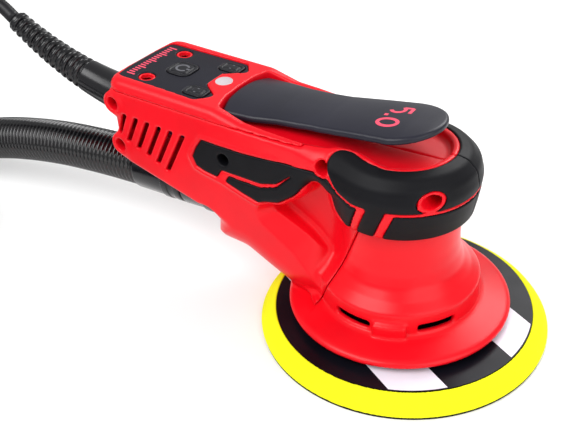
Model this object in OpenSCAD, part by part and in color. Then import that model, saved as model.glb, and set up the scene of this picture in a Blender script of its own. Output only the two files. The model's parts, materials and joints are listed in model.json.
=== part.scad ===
// Random orbit (dual action) polisher: brushless motor over a 150 mm pad,
// palm lever on top, control panel, power cord and dust hose at the rear.
// Origin: motor axis at the face of the pad. +X points to the nose, +Z up.

/* [Pad] */
// Diameter of the foam pad at its face
pad_d = 150; // [146:1:152]
// Thickness of foam and hook face together
foam_h = 9.8; // [9.4:0.1:10]
// Orbit of the pad, twice the offset of its spindle
orbit = 5; // [3:0.5:5]
// Dust holes through the pad
dust_holes = 6; // [4:1:8]
// Radius of the circle of dust holes
dust_circle_r = 40; // [36:1:42]

/* [Motor housing] */
// Radius of the flange over the pad
flange_r = 57.3; // [57:0.1:58]
// Radius of the neck around the motor
neck_r = 29.5; // [29.5:0.1:29.7]
// Largest radius of the round head
head_r = 37.5; // [37.3:0.1:38]

/* [Body] */
// Width of the handle body
body_w = 61; // [60:0.5:62]
// Thickness of the housing walls
wall = 2.6; // [2.2:0.1:2.8]
// Thickness of the rubber overmould
skin = 1.6; // [1.2:0.1:1.8]
// Cooling slots on each side
vents = 6; // [4:1:6]

/* [Controls] */
// Travel of the buttons
button_travel = 0.8; // [0.5:0.1:0.9]
// Radius of the lever's hinge pin
pin_r = 1.5; // [1.4:0.1:1.6]

/* [Cord and hose] */
// Outer diameter of the dust hose
hose_d = 27.5; // [27:0.5:28]
// Diameter of the power cord
cord_d = 8; // [7.5:0.1:8]

/* [Hidden] */
$fn = 96;

gap = 0.25;          // clearance between housing mouldings
off = orbit / 2;     // offset of the pad's axis from the motor's axis
half_w = body_w / 2;

// ---- outlines: [x, y, corner radius], anticlockwise ----
// Side view of the handle, web and duct (x, z)
side_outline = [
    [0, 60, 0], [0, 100.5, 0], [-20, 103.5, 30], [-44, 105.8, 40], [-72, 109, 12],
    [-88, 114, 12], [-151, 119.5, 6], [-158, 116, 5], [-158, 98, 30], [-153, 73.5, 5],
    [-97, 54.5, 2], [-99, 37, 4], [-92, 32.5, 4], [-78, 30.5, 12], [-50, 14.2, 6],
    [-20, 14.2, 0], [-20, 60, 0]
];
// Plan of the handle (x, y)
plan_outline = [
    [0, -half_w + 2.5, 0], [0, half_w - 2.5, 0], [-20, half_w - 2, 30], [-60, half_w, 60],
    [-153, half_w, 11], [-159, 0, 90], [-153, -half_w, 11], [-60, -half_w, 60],
    [-20, -half_w + 2, 30]
];
// Cross section of the handle (y, z below its top)
section_outline = [
    [-half_w, -120, 0], [half_w, -120, 0], [half_w, 0, 7], [-half_w, 0, 7]
];
// Hollow in each side between neck, handle and duct (x, z)
pocket_outline = [
    [0, 33, 0], [0, 86, 0], [-24, 86, 3], [-31, 88.5, 3], [-36, 85, 3], [-38, 78, 8],
    [-50, 69.5, 10], [-63, 66, 3],
    [-40, 51, 25], [-24, 34, 6]
];
pocket_y = 15;
// Trough under the lever: from the side (x, z) and from above (x, y)
trough_outline = [
    [-92, 130, 0], [-92, 107.2, 0], [-76, 105.4, 6], [-36, 103.4, 20],
    [-12, 99.6, 20], [30, 98.8, 0], [30, 130, 0]
];
trough_plan = [
    [-83.5, -24.3, 3], [-38, -24, 10], [-24, -19.8, 8], [0, -19.8, 0], [0, 19.8, 0],
    [-24, 19.8, 8], [-38, 24, 10], [-83.5, 24.3, 3], [-89.4, 12, 20], [-90.9, 0, 30], [-89.4, -12, 20]
];
dish_r = 22.6;
// Profile of the round head (radius, z); its axis side is clamped to the axis
head_outline = [
    [-20, 71, 0], [head_r - 2.8, 71, 1], [head_r - 1.3, 79, 30], [head_r - 0.3, 86, 30],
    [head_r, 91, 8], [head_r - 1.5, 97, 5], [31.5, 101.6, 5], [27, 102.8, 2], [-20, 102.8, 0]
];
// Rubber on the finger side of the handle (x, z)
grip_outline = [
    [-98, 96, 3], [-104, 84, 3], [-90, 76, 8], [-74, 68.5, 6], [-52, 71.5, 10],
    [-40, 80, 8], [-36.5, 90, 3], [-35.5, 95, 2]
];
belt_z = [85.6, 86.9];      // red line between the two rubber rings of the head
ring_sector = 128;          // how far back the head's rubber reaches, degrees
stripes = [[-108, -98], [-84, -78]];   // red stripes in the lower ring, degrees

// Panel: its middle, its tilt and the stations on it (x along the panel, y)
panel_at = [-125, 0, 116.45];
panel_tilt = 4.9;
panel_t = 1.2;
panel_plan = [
    [-26, -23.5, 3], [24, -24.3, 3], [30, -15.5, 3], [22, -9, 2], [20, -6.5, 1],
    [20, 6.5, 1], [22, 9, 2], [30, 15.5, 3], [24, 24.3, 3], [-26, 23.5, 3], [-29, 0, 60]
];
button_at = [[1, 0], [19.2, -15.9], [19.2, 15.9]];     // power, plus, minus
button_size = [[13, 14], [12, 9.5], [12, 9.5]];
panel_screw_at = [[-12, -16.2], [-12, 16.2]];
lens_at = [25, 0];
seam = [[-170, 114.6], [-60, 106], [-40, 104.2], [-34, 108], [-34, 140], [-170, 140]];

// Screws across the split of the body: [x, z]
screw_at = [[-150.5, 104], [-149, 82], [-83, 88.5], [-28, 96.3], [25, 92]];
boss_r = 4.7;
well_r = 3.5;
screw_r = 1.3;
screw_seat = 9;             // depth of the screw heads from the split

pin_at = [-78, 0, 102.5];   // hinge of the lever
magnet_x = -6;              // magnet under the lever, over the hall sensor
spring_x = -52;
spring_z = [104.4, 109.7];
port_z = 51;                // height of the dust port
port_x = -100;              // face of the socket that takes it

// ---- motor stack, heights on the motor axis ----
plate_top = 10;
stud_top = 24;
spindle_z = [13.6, 18.6, 38];
bearing_z = [20, 28.4];
bearing_h = 8;
hub_z = [19.5, 39, 48.5];
shield_z = 49;
rotor_z = [60, 74];
top_shield_z = 80.4;
shaft_top = 90;
shaft_r = 4;
run = 0.04;                 // running clearance in a bearing

// ---- boot, cord and hose routes ----
boot_from = [-160, 0, 92.2];
boot_len = 92;
boot_rings = 32;
boot_angle = [8, 36];      // slope at its two ends
cord_route = [
    [-246.5, 0, 126.1], [-256.3, 0, 133.3], [-267.2, -1.7, 139.3], [-278.6, -6.2, 142.3],
    [-289.1, -13.2, 141.9], [-297.6, -21.7, 138.3], [-303.2, -30.9, 131.8], [-305.3, -39.8, 123.1],
    [-304.2, -47.5, 113.2], [-302.3, -55, 103.2], [-300.4, -62.5, 93.2], [-298.5, -70, 83.2],
    [-296.6, -77.5, 73.2], [-294.7, -85, 63.1], [-292.6, -92.6, 53.1], [-290.5, -100.1, 43.1],
    [-288.5, -107.6, 33.1], [-286.5, -115.1, 23.1], [-284.6, -123.2, 13.6], [-283.3, -133.8, 6.9],
    [-282.7, -146.1, 4.1], [-282.8, -158.7, 4], [-283, -171.4, 4], [-283.2, -184, 4]
];
coil_at = [-224, -184, 0];
coil_laps = 3;
coil_layers = 4;
coil_mid_r = 43;
coil_pitch = cord_d + 0.1;
tail_route = [
    [-224, -243.2, 4], [-209, -243.6, 4.2], [-194, -243.8, 5.5], [-181, -244, 7.5],
    [-169, -244, 9]
];
plug_at = [-169, -244, 9];
hose_route = [
    [-163, 0, 51], [-180, 0, 51], [-200, 0, 50.5], [-225, 0, 49], [-250, 0, 46],
    [-275, 0, 41.5], [-300, 0, 35.5], [-325, 0, 29], [-350, 0, 23], [-375, 0, 18.2],
    [-400, 0, 15.2], [-420, 0, 14.1], [-439, 0, 13.8], [-456, 0, 13.75]
];
lap = hose_d;               // pitch of the hose's two laps
hose_coil_at = [-456, -153.8, 0];
outer_lap_r = 153.8;
climb = [180, 270];         // where its end climbs onto the laps, degrees round the coil
climb_r = 140;              // radius at the top of the climb
fitting_len = 78;
vacuum_r = 17.5;            // outside of the hose's far end
climb_z = [hose_d / 2, hose_d + vacuum_r];

// ---- small functions ----
function unit(v) = v / norm(v);
function xy(p) = [p[0], p[1]];
function at(p, i) = p[(i + len(p)) % len(p)];
function corner(a, b, c, r, n = 5) =
    let (u = unit(a - b), v = unit(c - b), half = acos(u * v) / 2)
    r == 0 || half > 89 ? [b] :
    let (m = b + unit(u + v) * r / sin(half), p = b + u * r / tan(half), q = b + v * r / tan(half))
    [for (i = [0:n]) m + r * unit((p - m) * (n - i) / n + (q - m) * i / n)];
// Outline with its corners rounded
function path(p) = [for (i = [0:len(p) - 1])
    each corner(xy(at(p, i - 1)), xy(p[i]), xy(at(p, i + 1)), p[i][2])];
// Outline moved inwards by d, or outwards if d is negative
function inset(p, d) = [for (i = [0:len(p) - 1])
    let (u = unit(xy(p[i]) - xy(at(p, i - 1))), v = unit(xy(at(p, i + 1)) - xy(p[i])),
         n = [-u[1], u[0]], m = [-v[1], v[0]], q = xy(p[i]) + (n + m) * d / (1 + n * m),
         convex = u[0] * v[1] - u[1] * v[0] > 0)
    [q[0], q[1], p[i][2] == 0 ? 0 : max(0, p[i][2] + (convex ? -d : d))]];
function clamped(p) = [for (q = p) [max(q[0], 0), q[1]]];

// Frames along a route, each turned as little as possible from the last
function tangent(p, i) = unit(p[min(i + 1, len(p) - 1)] - p[max(i - 1, 0)]);
function side_of(t, s) = unit(s - t * (s * t));
function sides_along(p, i, s) = i == len(p) ? [] :
    let (n = side_of(tangent(p, i), s)) concat([n], sides_along(p, i + 1, n));
// Tube along a route with one radius for each ring
module sweep(p, radii, sides) {
    s = sides_along(p, 0, [0, 1, 0.01]);
    rings = [for (i = [0:len(p) - 1]) let (t = tangent(p, i), b = cross(t, s[i]))
        for (k = [0:sides - 1]) let (a = 360 * k / sides)
            p[i] + radii[i] * (s[i] * cos(a) + b * sin(a))];
    n = len(p);
    walls = [for (i = [0:n - 2]) for (k = [0:sides - 1]) let (l = (k + 1) % sides)
        [i * sides + k, (i + 1) * sides + k, (i + 1) * sides + l, i * sides + l]];
    ends = [[for (k = [0:sides - 1]) k], [for (k = [sides - 1:-1:0]) (n - 1) * sides + k]];
    polyhedron(rings, concat(walls, ends), convexity = 6);
}

// ---- helpers for solids ----
module along_y(y0, y1) translate([0, y1, 0]) rotate([90, 0, 0]) linear_extrude(y1 - y0) children();
module along_x(x0, x1) translate([x0, 0, 0]) rotate([90, 0, 90]) linear_extrude(x1 - x0) children();
module rod_y(x, z, r, y0, y1) translate([x, y1, z]) rotate([90, 0, 0]) cylinder(r = r, h = y1 - y0);
module rod_x(z, r, x0, x1) translate([x0, 0, z]) rotate([0, 90, 0]) cylinder(r = r, h = x1 - x0);
module ring(r1, r0, z0, z1) translate([0, 0, z0]) difference() {
    cylinder(r = r1, h = z1 - z0);
    translate([0, 0, -1]) cylinder(r = r0, h = z1 - z0 + 2);
}
module on_panel() translate(panel_at) rotate([0, panel_tilt, 0]) children();
module slab(size, r, z0, z1) translate([0, 0, z0]) linear_extrude(z1 - z0)
    polygon(path([[-size[0] / 2, -size[1] / 2, r], [size[0] / 2, -size[1] / 2, r],
                  [size[0] / 2, size[1] / 2, r], [-size[0] / 2, size[1] / 2, r]]));
module sector(profile, a0, a1) rotate([0, 0, a0]) rotate_extrude(angle = a1 - a0) polygon(profile);
module half_space(side) translate([-300, side > 0 ? 0 : -200, -10]) cube([500, 200, 200]);

// ---- housing shapes ----
module body_block(t) intersection() {
    along_y(-half_w - 5, half_w + 5) polygon(path(inset(side_outline, t)));
    translate([-100, 0, 115.6]) rotate([0, 6, 0]) along_x(-80, 130) polygon(path(inset(section_outline, t)));
    linear_extrude(140) polygon(path(inset(plan_outline, t)));
}
module pockets(t) for (s = [0, 1]) mirror([0, s, 0])
    along_y(pocket_y - t, half_w + 10) polygon(path(inset(pocket_outline, -t)));
module trough(t) intersection() {
    along_y(-half_w - 5, half_w + 5) polygon(path(inset(trough_outline, -t)));
    linear_extrude(140) union() {
        polygon(path(inset(trough_plan, -t)));
        circle(r = dish_r + t);
    }
}
module head_solid(t) rotate_extrude() polygon(clamped(path(inset(head_outline, t))));
// Skin of the head between two heights and two angles
module head_skin(z0, z1, a0, a1, t, draft = 0)
    sector(clamped(path(skin_band(z0, z1, t, draft))), a0, a1);
function head_radius(z) = lookup(z, [[71, head_r - 2.8], [79, head_r - 1.3], [86, head_r - 0.3],
    [91, head_r], [95, head_r - 0.8], [98.4, head_r - 3.4], [101, head_r - 7.6]]);
function skin_band(z0, z1, t, draft) =
    let (n = 7, m = (z0 + z1) / 2, zs = [for (i = [0:n]) z0 + (z1 - z0) * i / n])
    concat([for (z = zs) [head_radius(z) - 0.05, z, 0]],
           [for (i = [n:-1:0]) [head_radius(zs[i]) - 0.05 - t, m + (zs[i] - m) * (1 - draft), 0]]);
module motor_envelope() rotate_extrude() polygon([
    [0, 12], [flange_r + 0.3, 12], [flange_r + 0.3, 15.6], [flange_r - 0.9, 16.7], [43.6, 19.9],
    [41.25, 20.9], [41.25, 32.4], [36.4, 36.5], [32.5, 41.2], [30.5, 47], [neck_r + gap, 54],
    [neck_r + gap, 70.8], [29.15, 70.8], [29.15, top_shield_z + 2.8], [0, top_shield_z + 2.8]]);
module cavity() difference() {
    union() {
        difference() {
            body_block(wall);
            pockets(wall);
            // wall between the electronics and the dust duct
            along_y(-40, 40) polygon([[-104, 66], [-96, 66], [-34, 32.5], [-20, 32.5],
                [-20, 35.5], [-34, 35.5], [-95, 68.6], [-104, 68.6]]);
            // solid floor over the hose
            along_y(-40, 40) polygon([[-165, 50], [-98, 50], [-98, 71.5], [-165, 77]]);
        }
        head_solid(skin + wall);
    }
    trough(wall);
}
module vent_slots() for (i = [0:vents - 1], s = [0, 1]) mirror([0, s, 0])
    along_y(half_w - wall - 1, half_w + 2) polygon([
        [-151.2 + 6 * i, 88 - 3 * i], [-148.8 + 6 * i, 88 - 3 * i],
        [-142.8 + 7.4 * i, 100 - 0.8 * i], [-145.2 + 7.4 * i, 100 - 0.8 * i]]);
module cover_region(g) along_y(-half_w - 5, half_w + 5)
    polygon([for (p = seam) [p[0] + (p[0] > -50 ? g : 0), p[1] - (p[1] < 120 ? g : 0)]]);
module finger_skins(g) for (s = [0, 1]) mirror([0, s, 0])
    along_y(half_w - skin - g, half_w + 2) polygon(path(inset(grip_outline, -g)));
// Slots that the lever's two ears pass through
module lever_slots() for (s = [0, 1]) mirror([0, s, 0])
    translate([pin_at[0] - 5, 7.4, 97]) cube([11, 7.3, 30]);
module housing_half(side) {
    difference() {
        union() {
            intersection() {
                difference() {
                    union() {
                        difference() {
                            body_block(0);
                            pockets(0);
                            finger_skins(0.05);
                        }
                        head_solid(skin);
                        head_skin(belt_z[0], belt_z[1], -ring_sector, ring_sector, skin + 0.5, 0.2);
                        for (a = stripes, m = [0, 1]) mirror([0, m, 0])
                            head_skin(71.6, belt_z[0] + 0.2, a[0], a[1], skin + 0.5, 0.01);
                        ring(28.6, 20, 97, 102.75);
                        rod_x(boot_from[2], 13, boot_from[0] + 0.5, -150);
                    }
                    trough(0);
                    cavity();
                    vent_slots();
                    cover_region(gap);
                }
                half_space(side);
            }
            // screw bosses, and the posts that hold the lever's pin
            intersection() {
                union() {
                    for (p = screw_at) rod_y(p[0], p[1], boss_r, -half_w - 2, half_w + 2);
                    for (s = [0, 1]) mirror([0, s, 0])
                        rod_y(pin_at[0], pin_at[2], 3.4, 15.2, half_w - 1);
                }
                union() {
                    difference() {
                        body_block(0.02);
                        pockets(0);
                    }
                    head_solid(skin);
                }
                half_space(side);
            }
        }
        trough(0);
        lever_slots();
        motor_envelope();
        finger_skins(0.05);
        cover_region(gap);
        rod_x(port_z, 18, -170, port_x + 0.4);
        rod_x(port_z, 14.7, port_x - 2, -90);
        rod_x(boot_from[2], 7.7, boot_from[0] - 5, boot_from[0] + 20);
        rod_y(pin_at[0], pin_at[2], pin_r, -22, 22);
        for (p = screw_at) {
            rod_y(p[0], p[1], well_r, -half_w - 12, -screw_seat);
            rod_y(p[0], p[1], screw_r + 0.4, -screw_seat - 1, 0);
            rod_y(p[0], p[1], screw_r, -1, 15.5);
        }
    }
}
module right_housing() color("crimson") housing_half(-1);
module left_housing() color("firebrick") housing_half(1);

module motor_housing() color("red") difference() {
    union() {
        rotate_extrude() polygon([
            [flange_r, 13.4], [flange_r, 15.4], [flange_r - 1, 16.4], [43.5, 19.6], [41, 20.6],
            [41, 32.2], [36.2, 36.2], [32.2, 41], [30.2, 47], [neck_r, 54], [neck_r, 70.6],
            [28.9, 70.6], [28.9, 80], [27, 80], [27, 38.5], [33, 35], [38.4, 31],
            [38.4, 18.4], [50, 15.6], [54.4, 15.6], [54.4, 13.4]]);
        // tab between the two slots of each side
        for (s = [-1, 1]) sector([[40, 18.5], [43.6, 18.5], [43.6, 26.4], [40, 28]], s * 72 - 11, s * 72 + 11);
    }
    // air slots in the collar
    for (a = [-114, -53, 28, 85]) sector([[37, 21.8], [46, 21.8], [46, 26], [37, 26]], a, a + 28);
    // dust outlet to the duct, and air inlets above the fan
    translate([-50, -16, 21]) cube([20, 32, 9.8]);
}
module brake_ring() color("dimgray") ring(54.2, 50.2, 11, 15.6);

// ---- cover, panel and controls ----
module control_cover() color("red") difference() {
    intersection() {
        difference() {
            body_block(0);
            trough(0);
            difference() {
                body_block(wall);
                trough(wall);
                for (p = panel_screw_at) on_panel() translate([p[0], p[1], -20]) cylinder(r = 4, h = 25);
            }
        }
        cover_region(0);
    }
    on_panel() {
        translate([0, 0, -panel_t]) linear_extrude(20) polygon(path(panel_plan));
        for (i = [0:2]) translate([button_at[i][0], button_at[i][1], 0])
            slab(button_size[i] + [0.6, 0.6], 2.3, -20, 1);
        translate([lens_at[0], 0, -20]) cylinder(r = 3.05, h = 25);
        for (p = panel_screw_at) translate([p[0], p[1], 0]) {
            translate([0, 0, -5]) cylinder(r = 3, h = 10);
            translate([0, 0, -20]) cylinder(r = 1.7, h = 20);
        }
    }
    lever_slots();
}
module control_panel() color("black") on_panel() difference() {
    translate([0, 0, -panel_t]) linear_extrude(panel_t) polygon(path(inset(panel_plan, 0.1)));
    for (i = [0:2]) translate([button_at[i][0], button_at[i][1], 0])
        slab(button_size[i] + [0.6, 0.6], 2.3, -5, 1);
    for (p = panel_screw_at) translate([p[0], p[1], -5]) cylinder(r = 3.1, h = 10);
}
module panel_screws() color("silver") for (p = panel_screw_at) on_panel() translate([p[0], p[1], 0])
    difference() {
        union() {
            translate([0, 0, -5]) cylinder(r = 2.7, h = 1.8);
            translate([0, 0, -8]) cylinder(r = screw_r, h = 3.5);
        }
        translate([0, 0, -4.2]) cylinder(r = 1.2, h = 3, $fn = 6);
    }
module status_lens() color("white") on_panel() translate([lens_at[0], 0, -2.4]) cylinder(r = 3, h = 2.7);
module button(i) color("dimgray") on_panel() translate([button_at[i][0], button_at[i][1], 0]) {
    slab(button_size[i], 2, -3.6, 0.7);
}
module power_button() button(0);
module plus_button() button(1);
module minus_button() button(2);
module keypad_board() color("green") on_panel() {
    translate([4, 0, 0]) slab([42, 22], 2, -8.4, -7);
    translate([20, 0, 0]) slab([17, 40], 2, -8.4, -7);
}
module tact_switches() color("gray") on_panel() {
    for (i = [0:2]) translate([button_at[i][0], button_at[i][1], 0])
        slab([6, 4], 0.5, -7, -3.6 - button_travel - 0.1);
    translate([lens_at[0], 0, 0]) slab([3, 3], 0.3, -7, -5.5);
}

// ---- lever ----
lever_plan = [
    [-82.8, -21.5, 3], [-70, -21.4, 30], [-58, -19.2, 30], [-40, -18.3, 40], [-22, -20, 40],
    [-8, -21.6, 30], [6, -22, 8], [16, -15, 12], [20.5, 0, 12], [16, 15, 12], [6, 22, 8],
    [-8, 21.6, 30], [-22, 20, 40], [-40, 18.3, 40], [-58, 19.2, 30], [-70, 21.4, 30],
    [-82.8, 21.5, 3], [-88.4, 12, 20], [-89.8, 0, 30], [-88.4, -12, 20]
];
lever_side = [
    [-92, 110.2, 0], [-60, 109.6, 60], [-35, 110, 60], [5, 113.4, 60], [25, 113.8, 0],
    [25, 117.8, 0], [5, 117.2, 60], [-35, 113.4, 60], [-60, 112.8, 60], [-92, 113.4, 0]
];
module paddle_lever() color("darkslategray") difference() {
    union() {
        intersection() {
            along_y(-30, 30) polygon(path(lever_side));
            linear_extrude(140) polygon(path(lever_plan));
        }
        for (s = [0, 1]) mirror([0, s, 0]) {
            rod_y(pin_at[0], pin_at[2], 3.2, 8, 14);
            translate([-80.5, 8, pin_at[2]]) cube([5, 6, 8.5]);
        }
        translate([magnet_x, 0, 109.4]) cylinder(r = 4.2, h = 4.4);
    }
    rod_y(pin_at[0], pin_at[2], pin_r + 0.06, -20, 20);
    translate([magnet_x, 0, 109]) cylinder(r = 3, h = 2.7);
}
module lever_pin() color("silver") rod_y(pin_at[0], pin_at[2], pin_r, -22, 22);
module lever_magnet() color("gray") translate([magnet_x, 0, 109.5]) cylinder(r = 3, h = 2.2);

module lever_spring() color("silver") {
    turns = 3;
    steps = 12 * turns;
    p = [for (i = [0:steps]) [spring_x + 3.6 * cos(30 * i), 3.6 * sin(30 * i),
        spring_z[0] + 0.4 + (spring_z[1] - spring_z[0] - 0.8) * i / steps]];
    sweep(p, [for (q = p) 0.35], 8);
}
module hall_sensor() color("green") translate([magnet_x, 0, 0]) slab([9, 12], 1, 93.6, 95.2);

// ---- electronics ----
module control_board() color("green") difference() {
    translate([-106, 0, 0]) slab([66, 44], 2, 95.2, 96.8);
    for (x = [-134, -78], y = [-18, 18]) translate([x, y, 90]) cylinder(r = 1.6, h = 10);
}
module capacitors() color("navy") for (y = [-9, 9]) translate([0, y, 0]) rod_x(88.4, 6.2, -132, -109);
module heat_sink() color("silver") translate([-100, 0, 0]) difference() {
    slab([14, 40], 1, 85, 95.2);
    for (y = [-15:6:15]) translate([-8, y - 1.5, 83]) cube([16, 3, 9]);
}
module cable_clamp() color("black") difference() {
    translate([-139, 0, 0]) slab([7, 26], 1.5, 84.5, 94.5);
    rod_x(boot_from[2], 4.1, -150, -130);
    for (y = [-9.5, 9.5]) translate([-139, y, 80]) cylinder(r = 1.5, h = 20);
}

// ---- rubber overmoulds ----
module head_screw_cut() rod_y(screw_at[4][0], screw_at[4][1], boss_r + 0.1, -half_w - 12, 0);
module head_rubber(s) color("black") difference() {
    mirror([0, s, 0]) head_skin(belt_z[1] + 0.05, 100.6, -ring_sector, -0.3, skin - 0.1);
    head_solid(skin - 0.05);
    body_block(-0.1);
    trough(0);
    if (s == 0) head_screw_cut();
    ring(28.7, 0, 90, 110);
}
module band_rubber(s) color("black") difference() {
    mirror([0, s, 0]) {
        head_skin(71.8, belt_z[0] - 0.05, -ring_sector, stripes[0][0] - 0.1, skin - 0.1);
        head_skin(71.8, belt_z[0] - 0.05, stripes[0][1] + 0.1, stripes[1][0] - 0.1, skin - 0.1);
        head_skin(71.8, belt_z[0] - 0.05, stripes[1][1] + 0.1, -0.3, skin - 0.1);
    }
    body_block(-0.1);
    if (s == 0) head_screw_cut();
}
module head_grip_right() head_rubber(0);
module head_grip_left() head_rubber(1);
module lower_band_right() band_rubber(0);
module lower_band_left() band_rubber(1);
module finger_rubber(s) color("black") mirror([0, s, 0]) mirror([0, 1, 0]) difference() {
    along_y(half_w - skin, half_w - 0.1) polygon(path(inset(grip_outline, 0.1)));
    if (s == 0) rod_y(screw_at[2][0], screw_at[2][1], boss_r + 0.1, 0, 40);
}
module finger_grip_right() finger_rubber(0);
module finger_grip_left() finger_rubber(1);

// ---- screws of the body ----
module housing_screws() color("silver") for (p = screw_at) difference() {
    union() {
        rod_y(p[0], p[1], well_r - 0.3, -screw_seat - 2.4, -screw_seat);
        rod_y(p[0], p[1], screw_r, -screw_seat - 0.5, 15);
    }
    translate([p[0], -screw_seat - 3, p[1]]) rotate([-90, 0, 0]) cylinder(r = 1.6, h = 2, $fn = 6);
}

// ---- boot, port and cuffs ----
function boot_slope(i) = boot_angle[0] + (boot_angle[1] - boot_angle[0]) * i / boot_rings;
function boot_point(i) = i == 0 ? boot_from - [1.4, 0, 0] : boot_point(i - 1) +
    boot_len / boot_rings * [-cos(boot_slope(i - 0.5)), 0, sin(boot_slope(i - 0.5))];
module cable_boot() color("black") {
    smooth = 12;    // rings of the plain cuff, before the ribs begin
    ribs = [for (i = [0:boot_rings]) i < smooth ? 11.6 - 0.15 * i :
        9.9 - 0.12 * (i - smooth) - (i % 2 == 0 ? 0.9 : 0)];
    sweep(concat([boot_from + [9, 0, 0], boot_from],
                 [for (i = [0:boot_rings]) boot_point(i)]),
          concat([7.5, 7.5], ribs), 16);
}
module dust_port() color("black") difference() {
    union() {
        rod_x(port_z, 14.6, port_x, -91);
        rod_x(port_z, 17.6, port_x - 3.6, port_x);
        rod_x(port_z, 15.6, -128, port_x - 3);
        rod_x(port_z, 16.3, -112, -108);
        rod_x(port_z, 12.6, -150, -127);
    }
    rod_x(port_z, 11, -155, -80);
}
module hose_cuff() color("black") difference() {
    union() {
        rod_x(port_z, 14.6, -163, -128.2);
        rod_x(port_z, 15.3, -140, -128.2);
    }
    rod_x(port_z, 12.65, -151, -120);
    rod_x(port_z, 11, -170, -120);
}

// ---- motor ----
module stator_core() color("silver") {
    ring(26.9, 23, rotor_z[0] - 1, rotor_z[1] + 1);
    for (a = [0:40:320]) rotate([0, 0, a])
        translate([15.8, -2.5, rotor_z[0] - 1]) cube([7.6, 5, rotor_z[1] - rotor_z[0] + 2]);
}
module stator_windings() color("orange") for (a = [0:40:320]) rotate([0, 0, a]) difference() {
    translate([16.6, -4.7, rotor_z[0] - 3]) cube([5.6, 9.4, rotor_z[1] - rotor_z[0] + 6]);
    translate([15, -2.55, rotor_z[0] - 1.05]) cube([9, 5.1, rotor_z[1] - rotor_z[0] + 2.1]);
}
module lower_end_shield() color("gray") difference() {
    union() {
        translate([0, 0, shield_z]) cylinder(r = 26.9, h = 3);
        translate([0, 0, shield_z]) cylinder(r = 13.5, h = 7.6);
    }
    translate([0, 0, shield_z - 1]) cylinder(r = 9, h = 10);
    translate([0, 0, shield_z + 1]) cylinder(r = 11, h = 10);
    for (a = [0:60:300]) rotate([0, 0, a]) translate([20, 0, shield_z - 1]) cylinder(r = 3.6, h = 6);
}
module upper_end_shield() color("gray") difference() {
    union() {
        translate([0, 0, top_shield_z - 0.3]) cylinder(r = 28.8, h = 2.6);
        translate([0, 0, top_shield_z]) cylinder(r = 13.5, h = 9);
    }
    translate([0, 0, top_shield_z - 1]) cylinder(r = 8, h = 20);
    translate([0, 0, top_shield_z + 1.6]) cylinder(r = 11, h = 20);
    for (a = [30:60:330]) rotate([0, 0, a]) translate([20.5, 0, top_shield_z - 1]) cylinder(r = 4, h = 6);
}
module lower_bearing() color("lightgray") ring(11, shaft_r + run, shield_z + 1, shield_z + 8);
module upper_bearing() color("lightgray") ring(11, shaft_r + run, top_shield_z + 1.6, top_shield_z + 8.6);
module motor_shaft() color("silver") translate([0, 0, hub_z[1] + 1]) cylinder(r = shaft_r, h = shaft_top - hub_z[1] - 1);
module rotor_core() color("slategray") ring(11, shaft_r, rotor_z[0], rotor_z[1]);
module rotor_magnets() color("dimgray") ring(14.8, 11, rotor_z[0] + 0.5, rotor_z[1] - 0.5);
module cooling_fan() color("black") {
    ring(25.5, 8, 40, 41.6);
    for (a = [0:30:330]) rotate([0, 0, a]) translate([12, -0.7, 41.5]) cube([13, 1.4, 5.5]);
}
module eccentric_hub() color("silver") difference() {
    union() {
        translate([0, 0, hub_z[0]]) cylinder(r = 20, h = hub_z[1] - hub_z[0]);
        translate([0, 0, hub_z[1] - 0.5]) cylinder(r = 8, h = hub_z[2] - hub_z[1] + 0.5);
    }
    translate([off, 0, hub_z[0] - 1]) cylinder(r = 14, h = bearing_z[1] + bearing_h - hub_z[0] + 1);
    translate([off, 0, hub_z[0]]) cylinder(r = 9.5, h = 19);
    translate([0, 0, hub_z[1] + 1]) cylinder(r = shaft_r, h = 20);
}
module counterweight() color("darkgray")
    sector([[20, 21], [33, 21], [33, 33], [20, 33]], 105, 255);
module pad_bearing_lower() color("lightgray") translate([off, 0, 0])
    ring(14, 6 + run, bearing_z[0], bearing_z[0] + bearing_h);
module pad_bearing_upper() color("lightgray") translate([off, 0, 0])
    ring(14, 6 + run, bearing_z[1], bearing_z[1] + bearing_h);

// ---- pad ----
module pad_spindle() color("silver") translate([off, 0, 0]) difference() {
    union() {
        translate([0, 0, spindle_z[0]]) cylinder(r = 9.8, h = spindle_z[1] - spindle_z[0], $fn = 6);
        translate([0, 0, spindle_z[1]]) cylinder(r = 7.6, h = 1.1);
        translate([0, 0, spindle_z[1]]) cylinder(r = 6, h = spindle_z[2] - spindle_z[1]);
    }
    translate([0, 0, spindle_z[0] - 1]) cylinder(r = 3.95, h = 13);
}
module spindle_retainer() color("gray") translate([off, 0, 0]) ring(8.4, 6, 36.8, 37.8);
module pad_washer() color("tan") translate([off, 0, 0]) ring(9, 4.1, 12.6, 13.6);
module pad_stud() color("silver") translate([off, 0, 0]) {
    translate([0, 0, 7.6]) cylinder(r = 8, h = 5);
    translate([0, 0, 12.5]) cylinder(r = 3.9, h = stud_top - 12.5);
}
module pad_holes() for (i = [0:dust_holes - 1]) rotate([0, 0, 360 * i / dust_holes])
    translate([dust_circle_r, 0, -1]) cylinder(r = 5, h = 20);
module backing_plate() color("black") translate([off, 0, 0]) difference() {
    union() {
        translate([0, 0, 7.6]) cylinder(r = 66.6, h = plate_top - 7.6);
        translate([0, 0, 7.6]) cylinder(r = 19, h = 5);
    }
    translate([0, 0, 7]) cylinder(r = 8, h = 8);
    pad_holes();
}
module plate_stripes() color("white") translate([off, 0, 0]) rotate([0, 0, -31]) difference() {
    for (y = [-31, 31]) intersection() {
        translate([-70, y - 12, plate_top]) cube([140, 24, 0.15]);
        ring(66, 36, plate_top - 1, plate_top + 1);
    }
    rotate([0, 0, 31]) pad_holes();
}
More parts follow.
